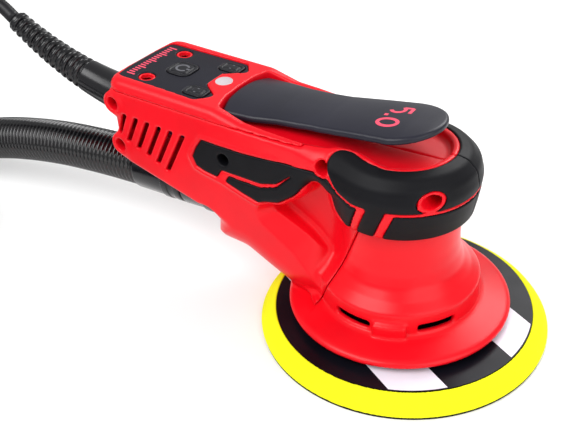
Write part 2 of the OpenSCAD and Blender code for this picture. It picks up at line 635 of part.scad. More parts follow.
module foam_pad() color("yellow") translate([off, 0, 0]) difference() {
    rotate_extrude() polygon([[0, 1.2], [pad_d / 2, 1.2], [pad_d / 2, 2], [67.4, foam_h],
        [66.6, foam_h], [66.6, 7.6], [0, 7.6]]);
    pad_holes();
}
module hook_face() color("dimgray") translate([off, 0, 0]) difference() {
    cylinder(r = pad_d / 2 - 0.4, h = 1.2);
    pad_holes();
}

// ---- cord and hose ----
module power_cord() color("black") {
    sweep(cord_route, [for (q = cord_route) cord_d / 2], 10);
    sweep(tail_route, [for (q = tail_route) cord_d / 2], 10);
}
module cord_coil() color("black") translate(coil_at) rotate_extrude() {
    w = coil_laps * coil_pitch / 2;
    h = coil_layers * coil_pitch;
    polygon(path([[coil_mid_r - w, 0, 3], [coil_mid_r + w + coil_pitch / 2, 0, 3],
                  [coil_mid_r + w + coil_pitch / 2, h, 3], [coil_mid_r - w, h, 3]]));
}
module power_plug() color("black") translate(plug_at) {
    rod_x(0, 5.5, 0, 14);
    translate([12, 0, 0]) along_x(0, 24) polygon(path([[-18, -3, 2], [-9, -8.5, 6], [9, -8.5, 6],
        [18, -3, 2], [18, 3, 2], [9, 8.5, 6], [-9, 8.5, 6], [-18, 3, 2]]));
    for (y = [-9.5, 9.5]) translate([0, y, 0]) rod_x(0, 2.4, 35.5, 55);
}
// Last stretch of the hose, climbing onto the laps; t runs from 0 to 1
function climbing(t) = let (a = climb[0] + (climb[1] - climb[0]) * t, e = t * t * (3 - 2 * t),
    r = (outer_lap_r - lap) * (1 - e) + climb_r * e)
    hose_coil_at + [r * cos(a), r * sin(a), climb_z[0] * (1 - e) + climb_z[1] * e];
module dust_hose() color("black") {
    steps = 16;
    sweep(hose_route, [for (q = hose_route) hose_d / 2], 12);
    sweep([for (i = [0:steps]) climbing(i / steps)], [for (i = [0:steps]) hose_d / 2], 12);
}
module hose_coil() color("black") translate(hose_coil_at) rotate_extrude() {
    r0 = outer_lap_r - lap - hose_d / 2;
    r1 = outer_lap_r + hose_d / 2;
    polygon(path([[r0, 0, 9], [r1, 0, 9], [r1, hose_d, 9], [r0, hose_d, 9]]));
}
module hose_end_fitting() color("black") translate(hose_coil_at) rotate([0, 0, climb[1]])
    translate([climb_r, 0, climb_z[1]]) rotate([0, 0, 90]) rotate([0, 90, 0]) difference() {
        union() {
            cylinder(r = 15.8, h = 28);
            translate([0, 0, 6]) cylinder(r = 16.6, h = 18);
            translate([0, 0, 28]) cylinder(r = vacuum_r, h = fitting_len - 28);
        }
        translate([0, 0, 20]) cylinder(r = vacuum_r - 2.5, h = fitting_len);
    }

right_housing();
left_housing();
motor_housing();
control_cover();
control_panel();
panel_screws();
status_lens();
head_grip_right();
head_grip_left();
lower_band_right();
lower_band_left();
finger_grip_right();
finger_grip_left();
housing_screws();
brake_ring();
lever_pin();
hall_sensor();
control_board();
capacitors();
heat_sink();
keypad_board();
tact_switches();
cable_clamp();
cable_boot();
dust_port();
hose_cuff();
stator_core();
stator_windings();
lower_end_shield();
upper_end_shield();
lower_bearing();
upper_bearing();
motor_shaft();
rotor_core();
rotor_magnets();
cooling_fan();
eccentric_hub();
counterweight();
pad_bearing_lower();
pad_bearing_upper();
pad_spindle();
spindle_retainer();
pad_washer();
backing_plate();
plate_stripes();
pad_stud();
foam_pad();
hook_face();
paddle_lever();
lever_magnet();
lever_spring();
power_button();
plus_button();
minus_button();
power_cord();
cord_coil();
power_plug();
dust_hose();
hose_coil();
hose_end_fitting();
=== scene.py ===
"""Dual action polisher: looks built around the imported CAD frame. Lengths in mm become metres by MM."""
import json
import math

import bpy
import numpy as np
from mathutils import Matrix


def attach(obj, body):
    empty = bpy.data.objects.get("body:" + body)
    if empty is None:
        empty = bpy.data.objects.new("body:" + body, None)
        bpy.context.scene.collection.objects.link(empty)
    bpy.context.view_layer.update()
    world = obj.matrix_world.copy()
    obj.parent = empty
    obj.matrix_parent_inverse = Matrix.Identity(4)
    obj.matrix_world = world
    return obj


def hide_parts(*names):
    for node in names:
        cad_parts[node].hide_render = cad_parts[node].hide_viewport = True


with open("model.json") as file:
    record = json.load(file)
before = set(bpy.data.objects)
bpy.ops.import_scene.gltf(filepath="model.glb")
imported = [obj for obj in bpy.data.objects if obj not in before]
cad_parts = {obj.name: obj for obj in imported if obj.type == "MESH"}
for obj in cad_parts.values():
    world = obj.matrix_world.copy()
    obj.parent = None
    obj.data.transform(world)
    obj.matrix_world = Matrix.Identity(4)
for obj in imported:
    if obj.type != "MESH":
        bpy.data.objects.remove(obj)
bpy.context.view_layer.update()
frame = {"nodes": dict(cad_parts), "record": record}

import openvdb
from mathutils import Matrix, Vector

MM = 0.001
FLOOR_HALF = 6.0  # metres
SCENE = bpy.context.scene


# ---------------------------------------------------------------- small helpers
def link(obj):
    """Put an object in the scene."""
    SCENE.collection.objects.link(obj)
    return obj


def mesh_object(name, verts, faces, smooth=True):
    """A mesh piece from vertices in mm."""
    mesh = bpy.data.meshes.new(name)
    mesh.from_pydata((np.asarray(verts, dtype=float) * MM).tolist(), [], [list(f) for f in faces])
    mesh.validate()
    mesh.update()
    mesh.polygons.foreach_set("use_smooth", [smooth] * len(mesh.polygons))
    return link(bpy.data.objects.new(name, mesh))


def unit(v):
    """A vector at length one."""
    v = np.asarray(v, dtype=float)
    return v / np.linalg.norm(v)


# ---------------------------------------------------------------- camera, light, floor
def make_camera():
    """The photograph's viewing angle, in mm and degrees."""
    az, el, roll = (math.radians(a) for a in (32.0, 34.0, -3.0))
    focal, dist, across, up_by = 800.0, 429.7, 103.3, 91.3
    back = np.array([math.sin(az) * math.cos(el), -math.cos(az) * math.cos(el), math.sin(el)])
    right = np.array([math.cos(az), math.sin(az), 0.0])
    up = np.cross(back, right)
    r2 = math.cos(roll) * right + math.sin(roll) * up
    u2 = -math.sin(roll) * right + math.cos(roll) * up
    place = dist * back - r2 * (across * dist / focal) + u2 * (up_by * dist / focal)
    data = bpy.data.cameras.new("camera")
    data.sensor_width = 36.0
    data.lens = focal / 588.0 * 36.0
    data.clip_start, data.clip_end = 0.02, 20.0
    cam = link(bpy.data.objects.new("camera", data))
    m = Matrix.Identity(4)
    for i, axis in enumerate((r2, u2, back)):
        for j in range(3):
            m[j][i] = float(axis[j])
    for j in range(3):
        m[j][3] = float(place[j]) * MM
    cam.matrix_world = m
    SCENE.camera = cam


def add_light(name, size, energy, place, target):
    """A soft white rectangle, size and places in metres."""
    data = bpy.data.lights.new(name, "AREA")
    data.shape, data.size, data.size_y = "RECTANGLE", size[0], size[1]
    data.energy = energy
    light = link(bpy.data.objects.new(name, data))
    light.location = place
    light.rotation_mode = "QUATERNION"
    light.rotation_quaternion = (Vector(target) - Vector(place)).to_track_quat("-Z", "Y")


def make_studio():
    """Even white surroundings, three soft lights and a pale floor."""
    world = bpy.data.worlds.new("studio")
    world.use_nodes = True
    world.node_tree.nodes["Background"].inputs["Color"].default_value = (1, 1, 1, 1)
    world.node_tree.nodes["Background"].inputs["Strength"].default_value = 0.55
    SCENE.world = world
    SCENE.view_settings.view_transform = "Standard"
    middle = (-0.03, 0, 0.06)
    add_light("key", (0.9, 0.7), 12, (-0.35, -0.75, 1.0), middle)
    add_light("fill", (0.9, 0.9), 5, (0.85, -0.35, 0.55), middle)
    add_light("rim", (0.7, 0.5), 7, (0.1, 0.8, 0.75), (-0.05, 0, 0.08))
    far = FLOOR_HALF / MM
    floor = mesh_object("floor", [(-far, -far, 0), (far, -far, 0), (far, far, 0), (-far, far, 0)],
                        [(0, 1, 2, 3)], smooth=False)
    mat = bpy.data.materials.new("pale_floor")
    mat.use_nodes = True
    bsdf = mat.node_tree.nodes["Principled BSDF"]
    bsdf.inputs["Base Color"].default_value = (0.93, 0.93, 0.93, 1)
    bsdf.inputs["Roughness"].default_value = 0.55
    floor.data.materials.append(mat)


make_camera()
make_studio()


# ---------------------------------------------------------------- materials
def noise(nodes, links, scale, detail=2.0, rough=0.5):
    """A noise texture in object coordinates, scale in waves a metre."""
    coord = nodes.new("ShaderNodeTexCoord")
    tex = nodes.new("ShaderNodeTexNoise")
    tex.inputs["Scale"].default_value = scale
    tex.inputs["Detail"].default_value = detail
    tex.inputs["Roughness"].default_value = rough
    links.new(coord.outputs["Object"], tex.inputs["Vector"])
    return tex


def material(name, colour, rough, grain=(), metallic=0.0, coat=0.0, tint=0.06, rough_swing=0.08,
             specular=0.5):
    """A moulded, turned or printed surface: cloudy colour and roughness; grain is (waves a metre, height in mm)."""
    mat = bpy.data.materials.new(name)
    mat.use_nodes = True
    nodes, links = mat.node_tree.nodes, mat.node_tree.links
    bsdf = nodes["Principled BSDF"]
    bsdf.inputs["Metallic"].default_value = metallic
    bsdf.inputs["Coat Weight"].default_value = coat
    bsdf.inputs["Coat Roughness"].default_value = 0.12
    bsdf.inputs["Specular IOR Level"].default_value = specular
    cloud = noise(nodes, links, 38.0, 4.0)
    ramp = nodes.new("ShaderNodeValToRGB")
    dark = [c * (1 - tint) for c in colour]
    light = [min(1.0, c * (1 + tint) + tint * 0.004) for c in colour]
    ramp.color_ramp.elements[0].position = 0.3
    ramp.color_ramp.elements[1].position = 0.7
    ramp.color_ramp.elements[0].color = (*dark, 1)
    ramp.color_ramp.elements[1].color = (*light, 1)
    links.new(cloud.outputs["Fac"], ramp.inputs["Fac"])
    links.new(ramp.outputs["Color"], bsdf.inputs["Base Color"])
    spread = nodes.new("ShaderNodeMapRange")
    spread.inputs["To Min"].default_value = rough - rough_swing / 2
    spread.inputs["To Max"].default_value = rough + rough_swing / 2
    links.new(noise(nodes, links, 160.0, 3.0).outputs["Fac"], spread.inputs["Value"])
    links.new(spread.outputs["Result"], bsdf.inputs["Roughness"])
    normal = None
    for scale, height in grain:
        bump = nodes.new("ShaderNodeBump")
        bump.inputs["Strength"].default_value = 0.6
        bump.inputs["Distance"].default_value = height * MM
        links.new(noise(nodes, links, scale, 2.0).outputs["Fac"], bump.inputs["Height"])
        if normal is not None:
            links.new(normal, bump.inputs["Normal"])
        normal = bump.outputs["Normal"]
    if normal is not None:
        links.new(normal, bsdf.inputs["Normal"])
    return mat


RED = material("red_moulding", (0.74, 0.002, 0.010), 0.33, [(2600, 0.03), (300, 0.02)], specular=0.24)
RED_FRONT = material("red_motor_moulding", (0.74, 0.002, 0.009), 0.3, [(2600, 0.025), (300, 0.02)], specular=0.24)
RUBBER = material("black_overmould", (0.003, 0.003, 0.0045), 0.48, [(3000, 0.05), (900, 0.02)], tint=0.2, specular=0.14)
BOOT = material("boot_rubber", (0.003, 0.003, 0.0045), 0.22, [(2400, 0.03)], tint=0.2, specular=0.45)
LEVER = material("lever_satin_black", (0.011, 0.011, 0.02), 0.36, [(2800, 0.03), (260, 0.015)], tint=0.15, specular=0.3)
PANEL = material("panel_black", (0.007, 0.007, 0.013), 0.4, [(3200, 0.05)], tint=0.15, specular=0.18)
KEYS = material("key_rubber", (0.006, 0.006, 0.009), 0.42, [(3000, 0.04)], tint=0.15, specular=0.25)
BLACK = material("black_moulding", (0.004, 0.004, 0.006), 0.2, [(2400, 0.03)], tint=0.2, specular=0.35)
HOSE = material("hose_black", (0.003, 0.003, 0.004), 0.13, [(1500, 0.02)], tint=0.2, specular=0.6)
CORD = material("cord_jacket", (0.007, 0.007, 0.009), 0.4, [(2600, 0.04)], tint=0.2, specular=0.3)
FOAM = material("foam_yellow", (0.85, 0.87, 0.012), 0.8, [(1300, 0.25), (3600, 0.12)], tint=0.05, specular=0.1)
HOOK = material("hook_black", (0.008, 0.008, 0.009), 0.85, [(2200, 0.5), (5200, 0.3)], tint=0.3, specular=0.1)
PLATE = material("plate_black", (0.004, 0.004, 0.007), 0.3, [(900, 0.015)], tint=0.2, specular=0.12)
PRINT = material("print_white", (0.78, 0.75, 0.84), 0.3, [(1800, 0.02)], tint=0.05, specular=0.3)
PINK = material("print_red", (0.8, 0.07, 0.13), 0.4, [(2400, 0.02)], tint=0.06, specular=0.25)
ICON = material("print_grey", (0.10, 0.10, 0.115), 0.35, [(2400, 0.02)], tint=0.1)
LENS = material("lens_pearl", (0.5, 0.45, 0.47), 0.2, [(500, 0.02)], coat=0.3, tint=0.3, specular=0.3)
CHROME = material("bezel_bright", (0.62, 0.62, 0.66), 0.18, [(2200, 0.02)], metallic=1.0)
STEEL = material("turned_steel", (0.5, 0.5, 0.52), 0.3, [(4200, 0.03)], metallic=1.0, tint=0.1)
ALLOY = material("cast_alloy", (0.55, 0.56, 0.58), 0.45, [(1400, 0.12)], metallic=1.0, tint=0.1)
LAMINATION = material("steel_laminations", (0.2, 0.2, 0.22), 0.5, [(5200, 0.1)], metallic=0.8, tint=0.2)
COPPER = material("enamelled_copper", (0.62, 0.2, 0.06), 0.35, [(1500, 0.3)], metallic=0.9, tint=0.2)
BOARD = material("solder_mask_green", (0.012, 0.12, 0.04), 0.35, [(1200, 0.08)], tint=0.3)
SLEEVE = material("capacitor_sleeve", (0.012, 0.014, 0.06), 0.3, [(900, 0.03)], tint=0.2)
GREY = material("switch_grey", (0.13, 0.13, 0.14), 0.5, [(1800, 0.04)], tint=0.1)
FIBRE = material("fibre_washer", (0.28, 0.14, 0.06), 0.8, [(1600, 0.2)], tint=0.25)
MAGNET = material("nickel_plate", (0.32, 0.31, 0.3), 0.25, [(1600, 0.03)], metallic=1.0)


# ---------------------------------------------------------------- paths and tubes
def smooth_path(points, step):
    """Points every step mm along a Catmull-Rom curve through points."""
    p = np.asarray(points, dtype=float)
    p = np.vstack([2 * p[0] - p[1], p, 2 * p[-1] - p[-2]])
    out = []
    for a, b, c, d in zip(p[:-3], p[1:-2], p[2:-1], p[3:]):
        for t in np.linspace(0, 1, 12, endpoint=False):
            out.append(0.5 * (2 * b + (c - a) * t + (2 * a - 5 * b + 4 * c - d) * t ** 2
                              + (3 * b - a - 3 * c + d) * t ** 3))
    out.append(p[-2])
    return even_path(np.array(out), step)


def even_path(p, step):
    """The same path with points step mm apart."""
    along = np.concatenate([[0], np.cumsum(np.linalg.norm(np.diff(p, axis=0), axis=1))])
    s = np.linspace(0, along[-1], max(2, int(round(along[-1] / step)) + 1))
    return np.stack([np.interp(s, along, p[:, k]) for k in range(3)], axis=1)


def tube(name, path, radius, sides, mat):
    """Closed tube in mm; radius is a number or one number for each ring."""
    n = len(path)
    radius = np.broadcast_to(np.asarray(radius, dtype=float), (n,))
    tangent = np.gradient(path, axis=0)
    tangent /= np.linalg.norm(tangent, axis=1)[:, None]
    side = np.cross(tangent[0], (0.03, 0.02, 1.0))
    rings = []
    angle = np.linspace(0, 2 * math.pi, sides, endpoint=False)
    for i in range(n):
        side = side - tangent[i] * side.dot(tangent[i])
        side /= np.linalg.norm(side)
        other = np.cross(tangent[i], side)
        rings.append(path[i] + radius[i] * (np.cos(angle)[:, None] * side + np.sin(angle)[:, None] * other))
    verts = np.vstack(rings)
    k = np.arange(sides)
    nxt = (k + 1) % sides
    base = (np.arange(n - 1) * sides)[:, None]
    faces = np.stack([base + k, base + nxt, base + sides + nxt, base + sides + k], axis=2)
    faces = faces.reshape(-1, 4).tolist()
    faces += [list(k[::-1]), list((n - 1) * sides + k)]
    obj = mesh_object(name, verts, faces)
    obj.data.materials.append(mat)
    return obj


def arc(centre, a0, a1, r, z, step=3.0):
    """Points round centre from a0 to a1 degrees; r and z are numbers or (start, end), eased between."""
    r0, r1 = (r, r) if np.isscalar(r) else r
    z0, z1 = (z, z) if np.isscalar(z) else z
    n = max(3, int(abs(math.radians(a1 - a0)) * max(r0, r1) / step))
    t = np.linspace(0, 1, n + 1)
    e = t * t * (3 - 2 * t)
    a, r, z = np.radians(a0 + (a1 - a0) * t), r0 + (r1 - r0) * e, z0 + (z1 - z0) * e
    return np.stack([centre[0] + r * np.cos(a), centre[1] + r * np.sin(a), z], axis=1)


def join(*runs):
    """One path from several runs, without the repeated point where two meet."""
    out = [runs[0]]
    for run in runs[1:]:
        out.append(run[1:])
    return np.vstack(out)


# ---------------------------------------------------------------- power cord
CORD_D = 8.0
cord_route = [
    (-246.5, 0, 126.1), (-256.3, 0, 133.3), (-267.2, -1.7, 139.3), (-278.6, -6.2, 142.3), (-289.1, -13.2, 141.9),
    (-297.6, -21.7, 138.3), (-303.2, -30.9, 131.8), (-305.3, -39.8, 123.1), (-304.2, -47.5, 113.2),
    (-302.3, -55, 103.2), (-300.4, -62.5, 93.2), (-298.5, -70, 83.2), (-296.6, -77.5, 73.2), (-294.7, -85, 63.1),
    (-292.6, -92.6, 53.1), (-290.5, -100.1, 43.1), (-288.5, -107.6, 33.1), (-286.5, -115.1, 23.1),
    (-284.6, -123.2, 13.6), (-283.3, -133.8, 6.9), (-282.7, -146.1, 4.1), (-282.8, -158.7, 4), (-283, -171.4, 4),
    (-283.2, -184, 4)]
tail_route = [(-224, -243.2, 4), (-209, -243.6, 4.2), (-194, -243.8, 5.5), (-181, -244, 7.5), (-169, -244, 9)]
coil_at = (-224.0, -184.0)
lap_r = [34.9, 43.0, 51.1, 59.2]
lap_z = [4 + 8.1 * i for i in range(4)]


def cord_coil():
    """Twelve laps in four layers: each climbs, then shifts sideways, and the last comes down outside."""
    climb, shift = (150, 190), (190, 230)
    runs = [arc(coil_at, 180, 190, lap_r[3], lap_z[0]), arc(coil_at, *shift, (lap_r[3], lap_r[2]), lap_z[0])]
    for layer in range(4):
        order = [2, 1, 0] if layer % 2 == 0 else [0, 1, 2]
        for k, lap in enumerate(order):
            runs.append(arc(coil_at, shift[1], climb[0] + 360, lap_r[lap], lap_z[layer]))
            last = k == 2
            up = (lap_z[layer], lap_z[layer + 1]) if last and layer < 3 else lap_z[layer]
            after = lap_r[lap] if last and layer < 3 else lap_r[order[k + 1]] if not last else lap_r[3]
            runs.append(arc(coil_at, *climb, lap_r[lap], up))
            level = up if np.isscalar(up) else up[1]
            across = lap_r[lap] if after == lap_r[lap] else (lap_r[lap], after)
            runs.append(arc(coil_at, *shift, across, level))
    runs.append(arc(coil_at, 230, 555, lap_r[3], (lap_z[3], lap_z[1])))
    runs.append(arc(coil_at, 195, 270, lap_r[3], (lap_z[1], lap_z[0])))
    return join(*runs)


cord_path = even_path(join(smooth_path(cord_route, 3.0), cord_coil(), smooth_path(tail_route, 3.0)), 3.2)
power_cord = tube("mains_cord", cord_path, CORD_D / 2, 14, CORD)


def strap(name, centre, angle, r0, r1, height, width, mat):
    """A fabric tie round the section of a coil, from radius r0 to r1, on the floor."""
    a = math.radians(angle)
    radial, along = np.array([math.cos(a), math.sin(a), 0.0]), np.array([-math.sin(a), math.cos(a), 0.0])
    corner, t = 4.0, 0.6
    loop = []
    for cu, cz, start in ((r1 - corner, corner, -90), (r1 - corner, height - corner, 0),
                          (r0 + corner, height - corner, 90), (r0 + corner, corner, 180)):
        for d in np.linspace(start, start + 90, 7):
            loop.append((cu + corner * math.cos(math.radians(d)), cz + corner * math.sin(math.radians(d)),
                         math.cos(math.radians(d)), math.sin(math.radians(d))))
    verts, n = [], len(loop)
    for u, z, nu, nz in loop:
        for off, w in ((-t, -1), (t, -1), (t, 1), (-t, 1)):
            p = np.array([*centre, 0.0]) + radial * (u + off * nu) + along * (w * width / 2)
            p[2] += max(0.05, z + off * nz)
            verts.append(p)
    faces = [(i * 4 + k, i * 4 + (k + 1) % 4, ((i + 1) % n) * 4 + (k + 1) % 4, ((i + 1) % n) * 4 + k)
             for i in range(n) for k in range(4)]
    obj = mesh_object(name, verts, faces)
    obj.data.materials.append(mat)
    bevel = obj.modifiers.new("soft_edge", "BEVEL")
    bevel.width, bevel.segments, bevel.limit_method = 0.25 * MM, 2, "ANGLE"
    return obj


cord_tie = strap("cord_tie", coil_at, 20, 30.2, 63.9, 33.0, 14, HOOK)

# ---------------------------------------------------------------- dust hose
HOSE_D = 27.5
FLOOR_LAP = HOSE_D / 2
hose_route = [
    (-162, 0, 51), (-180, 0, 51), (-200, 0, 50.5), (-225, 0, 49), (-250, 0, 46), (-275, 0, 41.5),
    (-300, 0, 35.5), (-325, 0, 29), (-350, 0, 23), (-375, 0, 18.2), (-400, 0, 15.2), (-420, 0, 14.1),
    (-439, 0, 13.8), (-456, 0, FLOOR_LAP)]
hose_at = (-456.0, -153.8)
outer_r, inner_r, top_r = 153.8, 126.3, 140.0
rest_z = 45.0
hose_path = join(
    smooth_path(hose_route, 2.0), arc(hose_at, 90, 390, outer_r, FLOOR_LAP),
    arc(hose_at, 30, 90, (outer_r, inner_r), FLOOR_LAP), arc(hose_at, 90, 180, inner_r, FLOOR_LAP),
    arc(hose_at, 180, 270, (inner_r, top_r), (FLOOR_LAP, rest_z)))
RIB = 3.1
hose_path = even_path(hose_path, RIB / 6)
wave = np.array([0.0, 0.1, 0.5, 2.0, 2.0, 0.5])[np.arange(len(hose_path)) % 6]
dust_hose = tube("corrugated_hose", hose_path, HOSE_D / 2 - wave, 26, HOSE)
hose_tie = strap("hose_tie", hose_at, 100, 111.4, 169.2, 28.7, 22, HOOK)


# ---------------------------------------------------------------- solids from distance fields, in mm
def rmax(a, b, r):
    """Where both hold, with the edge between them rounded to r."""
    return np.minimum(-r, np.maximum(a, b)) + np.hypot(np.maximum(r + a, 0), np.maximum(r + b, 0))


def rmin(a, b, r):
    """Either of two, with a fillet of radius r between them."""
    return np.maximum(r, np.minimum(a, b)) - np.hypot(np.maximum(r - a, 0), np.maximum(r - b, 0))


def flat_edge(a, b, c):
    """Where both hold, with the edge between them planed off by c."""
    return np.maximum(np.maximum(a, b), (a + b + c) * 0.7071)


def ease(t):
    """Smooth rise from 0 to 1."""
    t = np.clip(t, 0, 1)
    return t * t * (3 - 2 * t)


def outline(points, n=7):
    """Corner points (x, y, radius) as a closed outline with rounded corners."""
    out, m = [], len(points)
    for i in range(m):
        a, b, c = (np.array(points[j % m][:2], dtype=float) for j in (i - 1, i, i + 1))
        r = points[i][2]
        u, v = unit(a - b), unit(c - b)
        half = math.acos(max(-1.0, min(1.0, float(u.dot(v))))) / 2
        if r == 0 or half > 1.553:
            out.append(b)
            continue
        mid = b + unit(u + v) * r / math.sin(half)
        p, q = b + u * r / math.tan(half), b + v * r / math.tan(half)
        out += [mid + r * unit((p - mid) * (n - k) / n + (q - mid) * k / n) for k in range(n + 1)]
    return np.array(out)


def polygon(points, a, b):
    """Signed distance to a closed outline, negative inside."""
    best, inside = None, False
    pts = np.asarray(points, dtype=float)
    for (x0, y0), (x1, y1) in zip(pts.tolist(), np.roll(pts, -1, axis=0).tolist()):
        ex, ey = x1 - x0, y1 - y0
        if ex * ex + ey * ey < 1e-10:
            continue
        t = np.clip(((a - x0) * ex + (b - y0) * ey) / (ex * ex + ey * ey), 0, 1)
        d = (a - x0 - ex * t) ** 2 + (b - y0 - ey * t) ** 2
        best = d if best is None else np.minimum(best, d)
        if y0 != y1:
            inside = inside ^ (((y0 <= b) != (y1 <= b)) & (a < x0 + (b - y0) * ex / ey))
    return (np.where(inside, -1.0, 1.0) * np.sqrt(best)).astype(np.float32)


def revolved(profile, x, y, z, step=0.4):
    """Signed distance to a profile (radius, height) turned round the z axis."""
    r = np.hypot(x, y)[:, :, 0]
    table = polygon(profile, np.arange(0, float(r.max()) + 3 * step, step)[:, None], z.reshape(1, -1))
    f = r / step
    i = f.astype(int)
    f = (f - i)[:, :, None].astype(np.float32)
    return table[i] * (1 - f) + table[i + 1] * f


def grid(x, y, z, h):
    """Coordinates of a block of points, one array along each axis."""
    hs = (h, h, h) if np.isscalar(h) else h
    ax = [np.arange(lo, hi + s, s, dtype=np.float32) for (lo, hi), s in zip((x, y, z), hs)]
    return ax[0][:, None, None], ax[1][None, :, None], ax[2][None, None, :]


def solid(name, d, g, mat, place=None, mirror=False):
    """A mesh piece where d < 0 on grid g; place moves its points, mirror flips it across y = 0."""
    axes = [a.ravel() for a in g]
    h = np.array([a[1] - a[0] for a in axes], dtype=float)
    d = np.broadcast_to(d, [len(a) for a in axes])
    vdb = openvdb.FloatGrid(background=3.0)
    vdb.copyFromArray(np.ascontiguousarray(np.clip(d / h.min(), -3, 3), dtype=np.float32))
    pts, tris, quads = vdb.convertToPolygons(isovalue=0.0, adaptivity=0.0)
    pts = pts.astype(float) * h + np.array([a[0] for a in axes])
    faces = np.asarray(quads, dtype=np.int64)
    if len(tris):
        tris = np.asarray(tris, dtype=np.int64)
        faces = np.vstack([faces.reshape(-1, 4), np.column_stack([tris, tris[:, 2]])])
    faces = whole_parts(len(pts), faces)
    a, b, c, e = (pts[faces[:, k]] for k in range(4))
    volume = (np.cross(a, b) * c).sum() + (np.cross(a, c) * e).sum()
    if place is not None:
        pts = place(pts)
    if mirror:
        pts = pts * (1, -1, 1)
        volume = -volume
    if volume < 0:
        faces = faces[:, ::-1]
    used = np.unique(faces)
    renumber = np.zeros(len(pts), dtype=np.int64)
    renumber[used] = np.arange(len(used))
    rows = [row if row[2] != row[3] and row[0] != row[1] else list(dict.fromkeys(row))
            for row in renumber[faces].tolist()]
    obj = mesh_object(name, pts[used], rows)
    obj.data.materials.append(mat)
    return obj


def whole_parts(n, faces, least=60):
    """The faces without loose crumbs of fewer than least points."""
    label = np.arange(n)
    while True:
        low = label[faces].min(axis=1)
        new = label.copy()
        np.minimum.at(new, faces.ravel(), np.repeat(low, 4))
        new = np.minimum(new, new[new])
        if (new == label).all():
            break
        label = new
    count = np.bincount(label[faces[:, 0]], minlength=n)
    return faces[count[label[faces[:, 0]]] >= least]


# ---------------------------------------------------------------- outlines of the body
SIDE = outline([
    (0, 60, 0), (0, 100.5, 0), (-20, 103.5, 30), (-44, 105.8, 40), (-72, 109, 12), (-88, 114, 12),
    (-151, 119.5, 6), (-158, 116, 5), (-158, 98, 30), (-153, 73.5, 5), (-97, 54.5, 2), (-99, 37, 4),
    (-92, 32.5, 4), (-78, 30.5, 12), (-50, 14.2, 6), (-20, 14.2, 0), (-20, 60, 0)])
PLAN = outline([
    (0, -28, 0), (0, 28, 0), (-20, 28.5, 30), (-60, 30.5, 60), (-153.5, 30.5, 10), (-159, 0, 90),
    (-153.5, -30.5, 10), (-60, -30.5, 60), (-20, -28.5, 30)])
POCKET = outline([
    (10, 33, 0), (10, 86, 0), (-24, 86, 3), (-31, 88.5, 3), (-36, 85, 3), (-38, 78, 8), (-50, 69.5, 10),
    (-63, 66, 3), (-40, 51, 25), (-24, 34, 6)])
TROUGH = outline([
    (-92, 130, 0), (-92, 107.2, 0), (-76, 105.4, 6), (-36, 103.4, 20), (-12, 99.6, 20), (30, 98.8, 0), (30, 130, 0)])
TROUGH_PLAN = outline([
    (-87.7, -22.9, 2), (-62, -24.3, 20), (-38, -24, 10), (-24, -19.8, 8), (0, -19.8, 0), (0, 19.8, 0), (-24, 19.8, 8),
    (-38, 24, 10), (-62, 24.3, 20), (-87.7, 22.9, 2), (-90.8, 12, 20), (-91.5, 0, 30), (-90.8, -12, 20)])
DISH_R = 22.6
NECK = outline([
    (-20, 13.4, 0), (57.3, 13.4, 0.8), (57.3, 15.6, 1.2), (55.5, 16.8, 2), (43.5, 19.6, 1), (41.2, 20.6, 0.8),
    (41, 32.2, 1.5), (36.2, 36.2, 6), (32.2, 41, 8), (30.2, 47, 12), (29.5, 54, 30), (29.5, 76, 0), (-20, 76, 0)])
HEAD = outline([
    (-20, 71, 0), (34.7, 71, 1.2), (36.2, 79, 30), (37.2, 86, 30), (37.5, 91, 8), (36, 97, 6), (31.5, 101.6, 5),
    (27, 102.8, 3), (-20, 102.8, 0)])
HOLLOW = outline([
    (-20, 5, 0), (54.4, 5, 0), (54.4, 15.0, 0.5), (50, 15.6, 1), (38.4, 18.4, 1), (38.4, 31, 2), (33, 35, 4),
    (27, 38.5, 4), (27, 90, 0), (-20, 90, 0)])
FINGER = np.array([
    (-95, 97), (-86, 96), (-71, 95), (-48, 95), (-36, 94), (-30, 94), (-27, 94.6), (-23, 92.7), (-17, 88.2),
    (-10, 85.6), (6, 85.6), (6, 71.3), (-14, 71.3), (-21, 76), (-24, 85), (-27, 87.5), (-30, 88.3), (-34, 87.5),
    (-37, 85), (-39, 83), (-44, 77), (-53, 71), (-64, 69), (-73, 72), (-83, 76), (-88, 77.5), (-95, 79), (-100, 81),
    (-102, 86), (-99, 92)])
L_STRIPE = np.array([
    (-89, 75.5), (-84.6, 82), (-73, 81.2), (-62, 80.3), (-53, 82.2), (-44.5, 88.6), (-53, 80.4), (-62, 78.2),
    (-73, 79), (-80.5, 79.8), (-84.5, 73.5)])
COVER = np.array([(-175, 114.9), (-60, 106), (-40, 104.2), (-34, 108), (-34, 140), (-175, 140)])
WELLS = [(-151, 105), (-150.4, 81), (-83, 88.5), (-28, 97), (25, 92)]
WELL_R, WELL_END = 3.5, -11.4
WRIST_WELL, FRONT_WELL = WELLS[3], WELLS[4]
EARS, EAR_R = WELLS[:2], 6.6
DUCT_Z = 51
BOOT_Z, BOOT_LENGTH = 92.2, 92
BAND_Z = (71.3, 85.6)


def handle(x, y, z):
    """The handle and the duct under it, with the hollow for the fingers."""
    side, plan = polygon(SIDE, x, z), polygon(PLAN, x, y)
    top = np.interp(x, [-45, -28], [2, 7.5])
    edge = 2.5 + top * ease((z - 92) / 10) + 16 * ease((60 - z) / 14) * ease((x + 103) / 4)
    body = rmax(side, plan, edge)
    pocket = rmax(polygon(POCKET, x, z), 15 - np.abs(y), 3)
    line = np.interp(x, [-110, -63, -40, -24, 0], [90, 66, 51, 34, 30])
    w = ease((z - line - 2) / 8)
    bevel = np.interp(z, [26, 40, 60, 80], [11, 9.5, 7, 4])
    return flat_edge(body, -pocket, bevel) * (1 - w) + rmax(body, -pocket, 6) * w


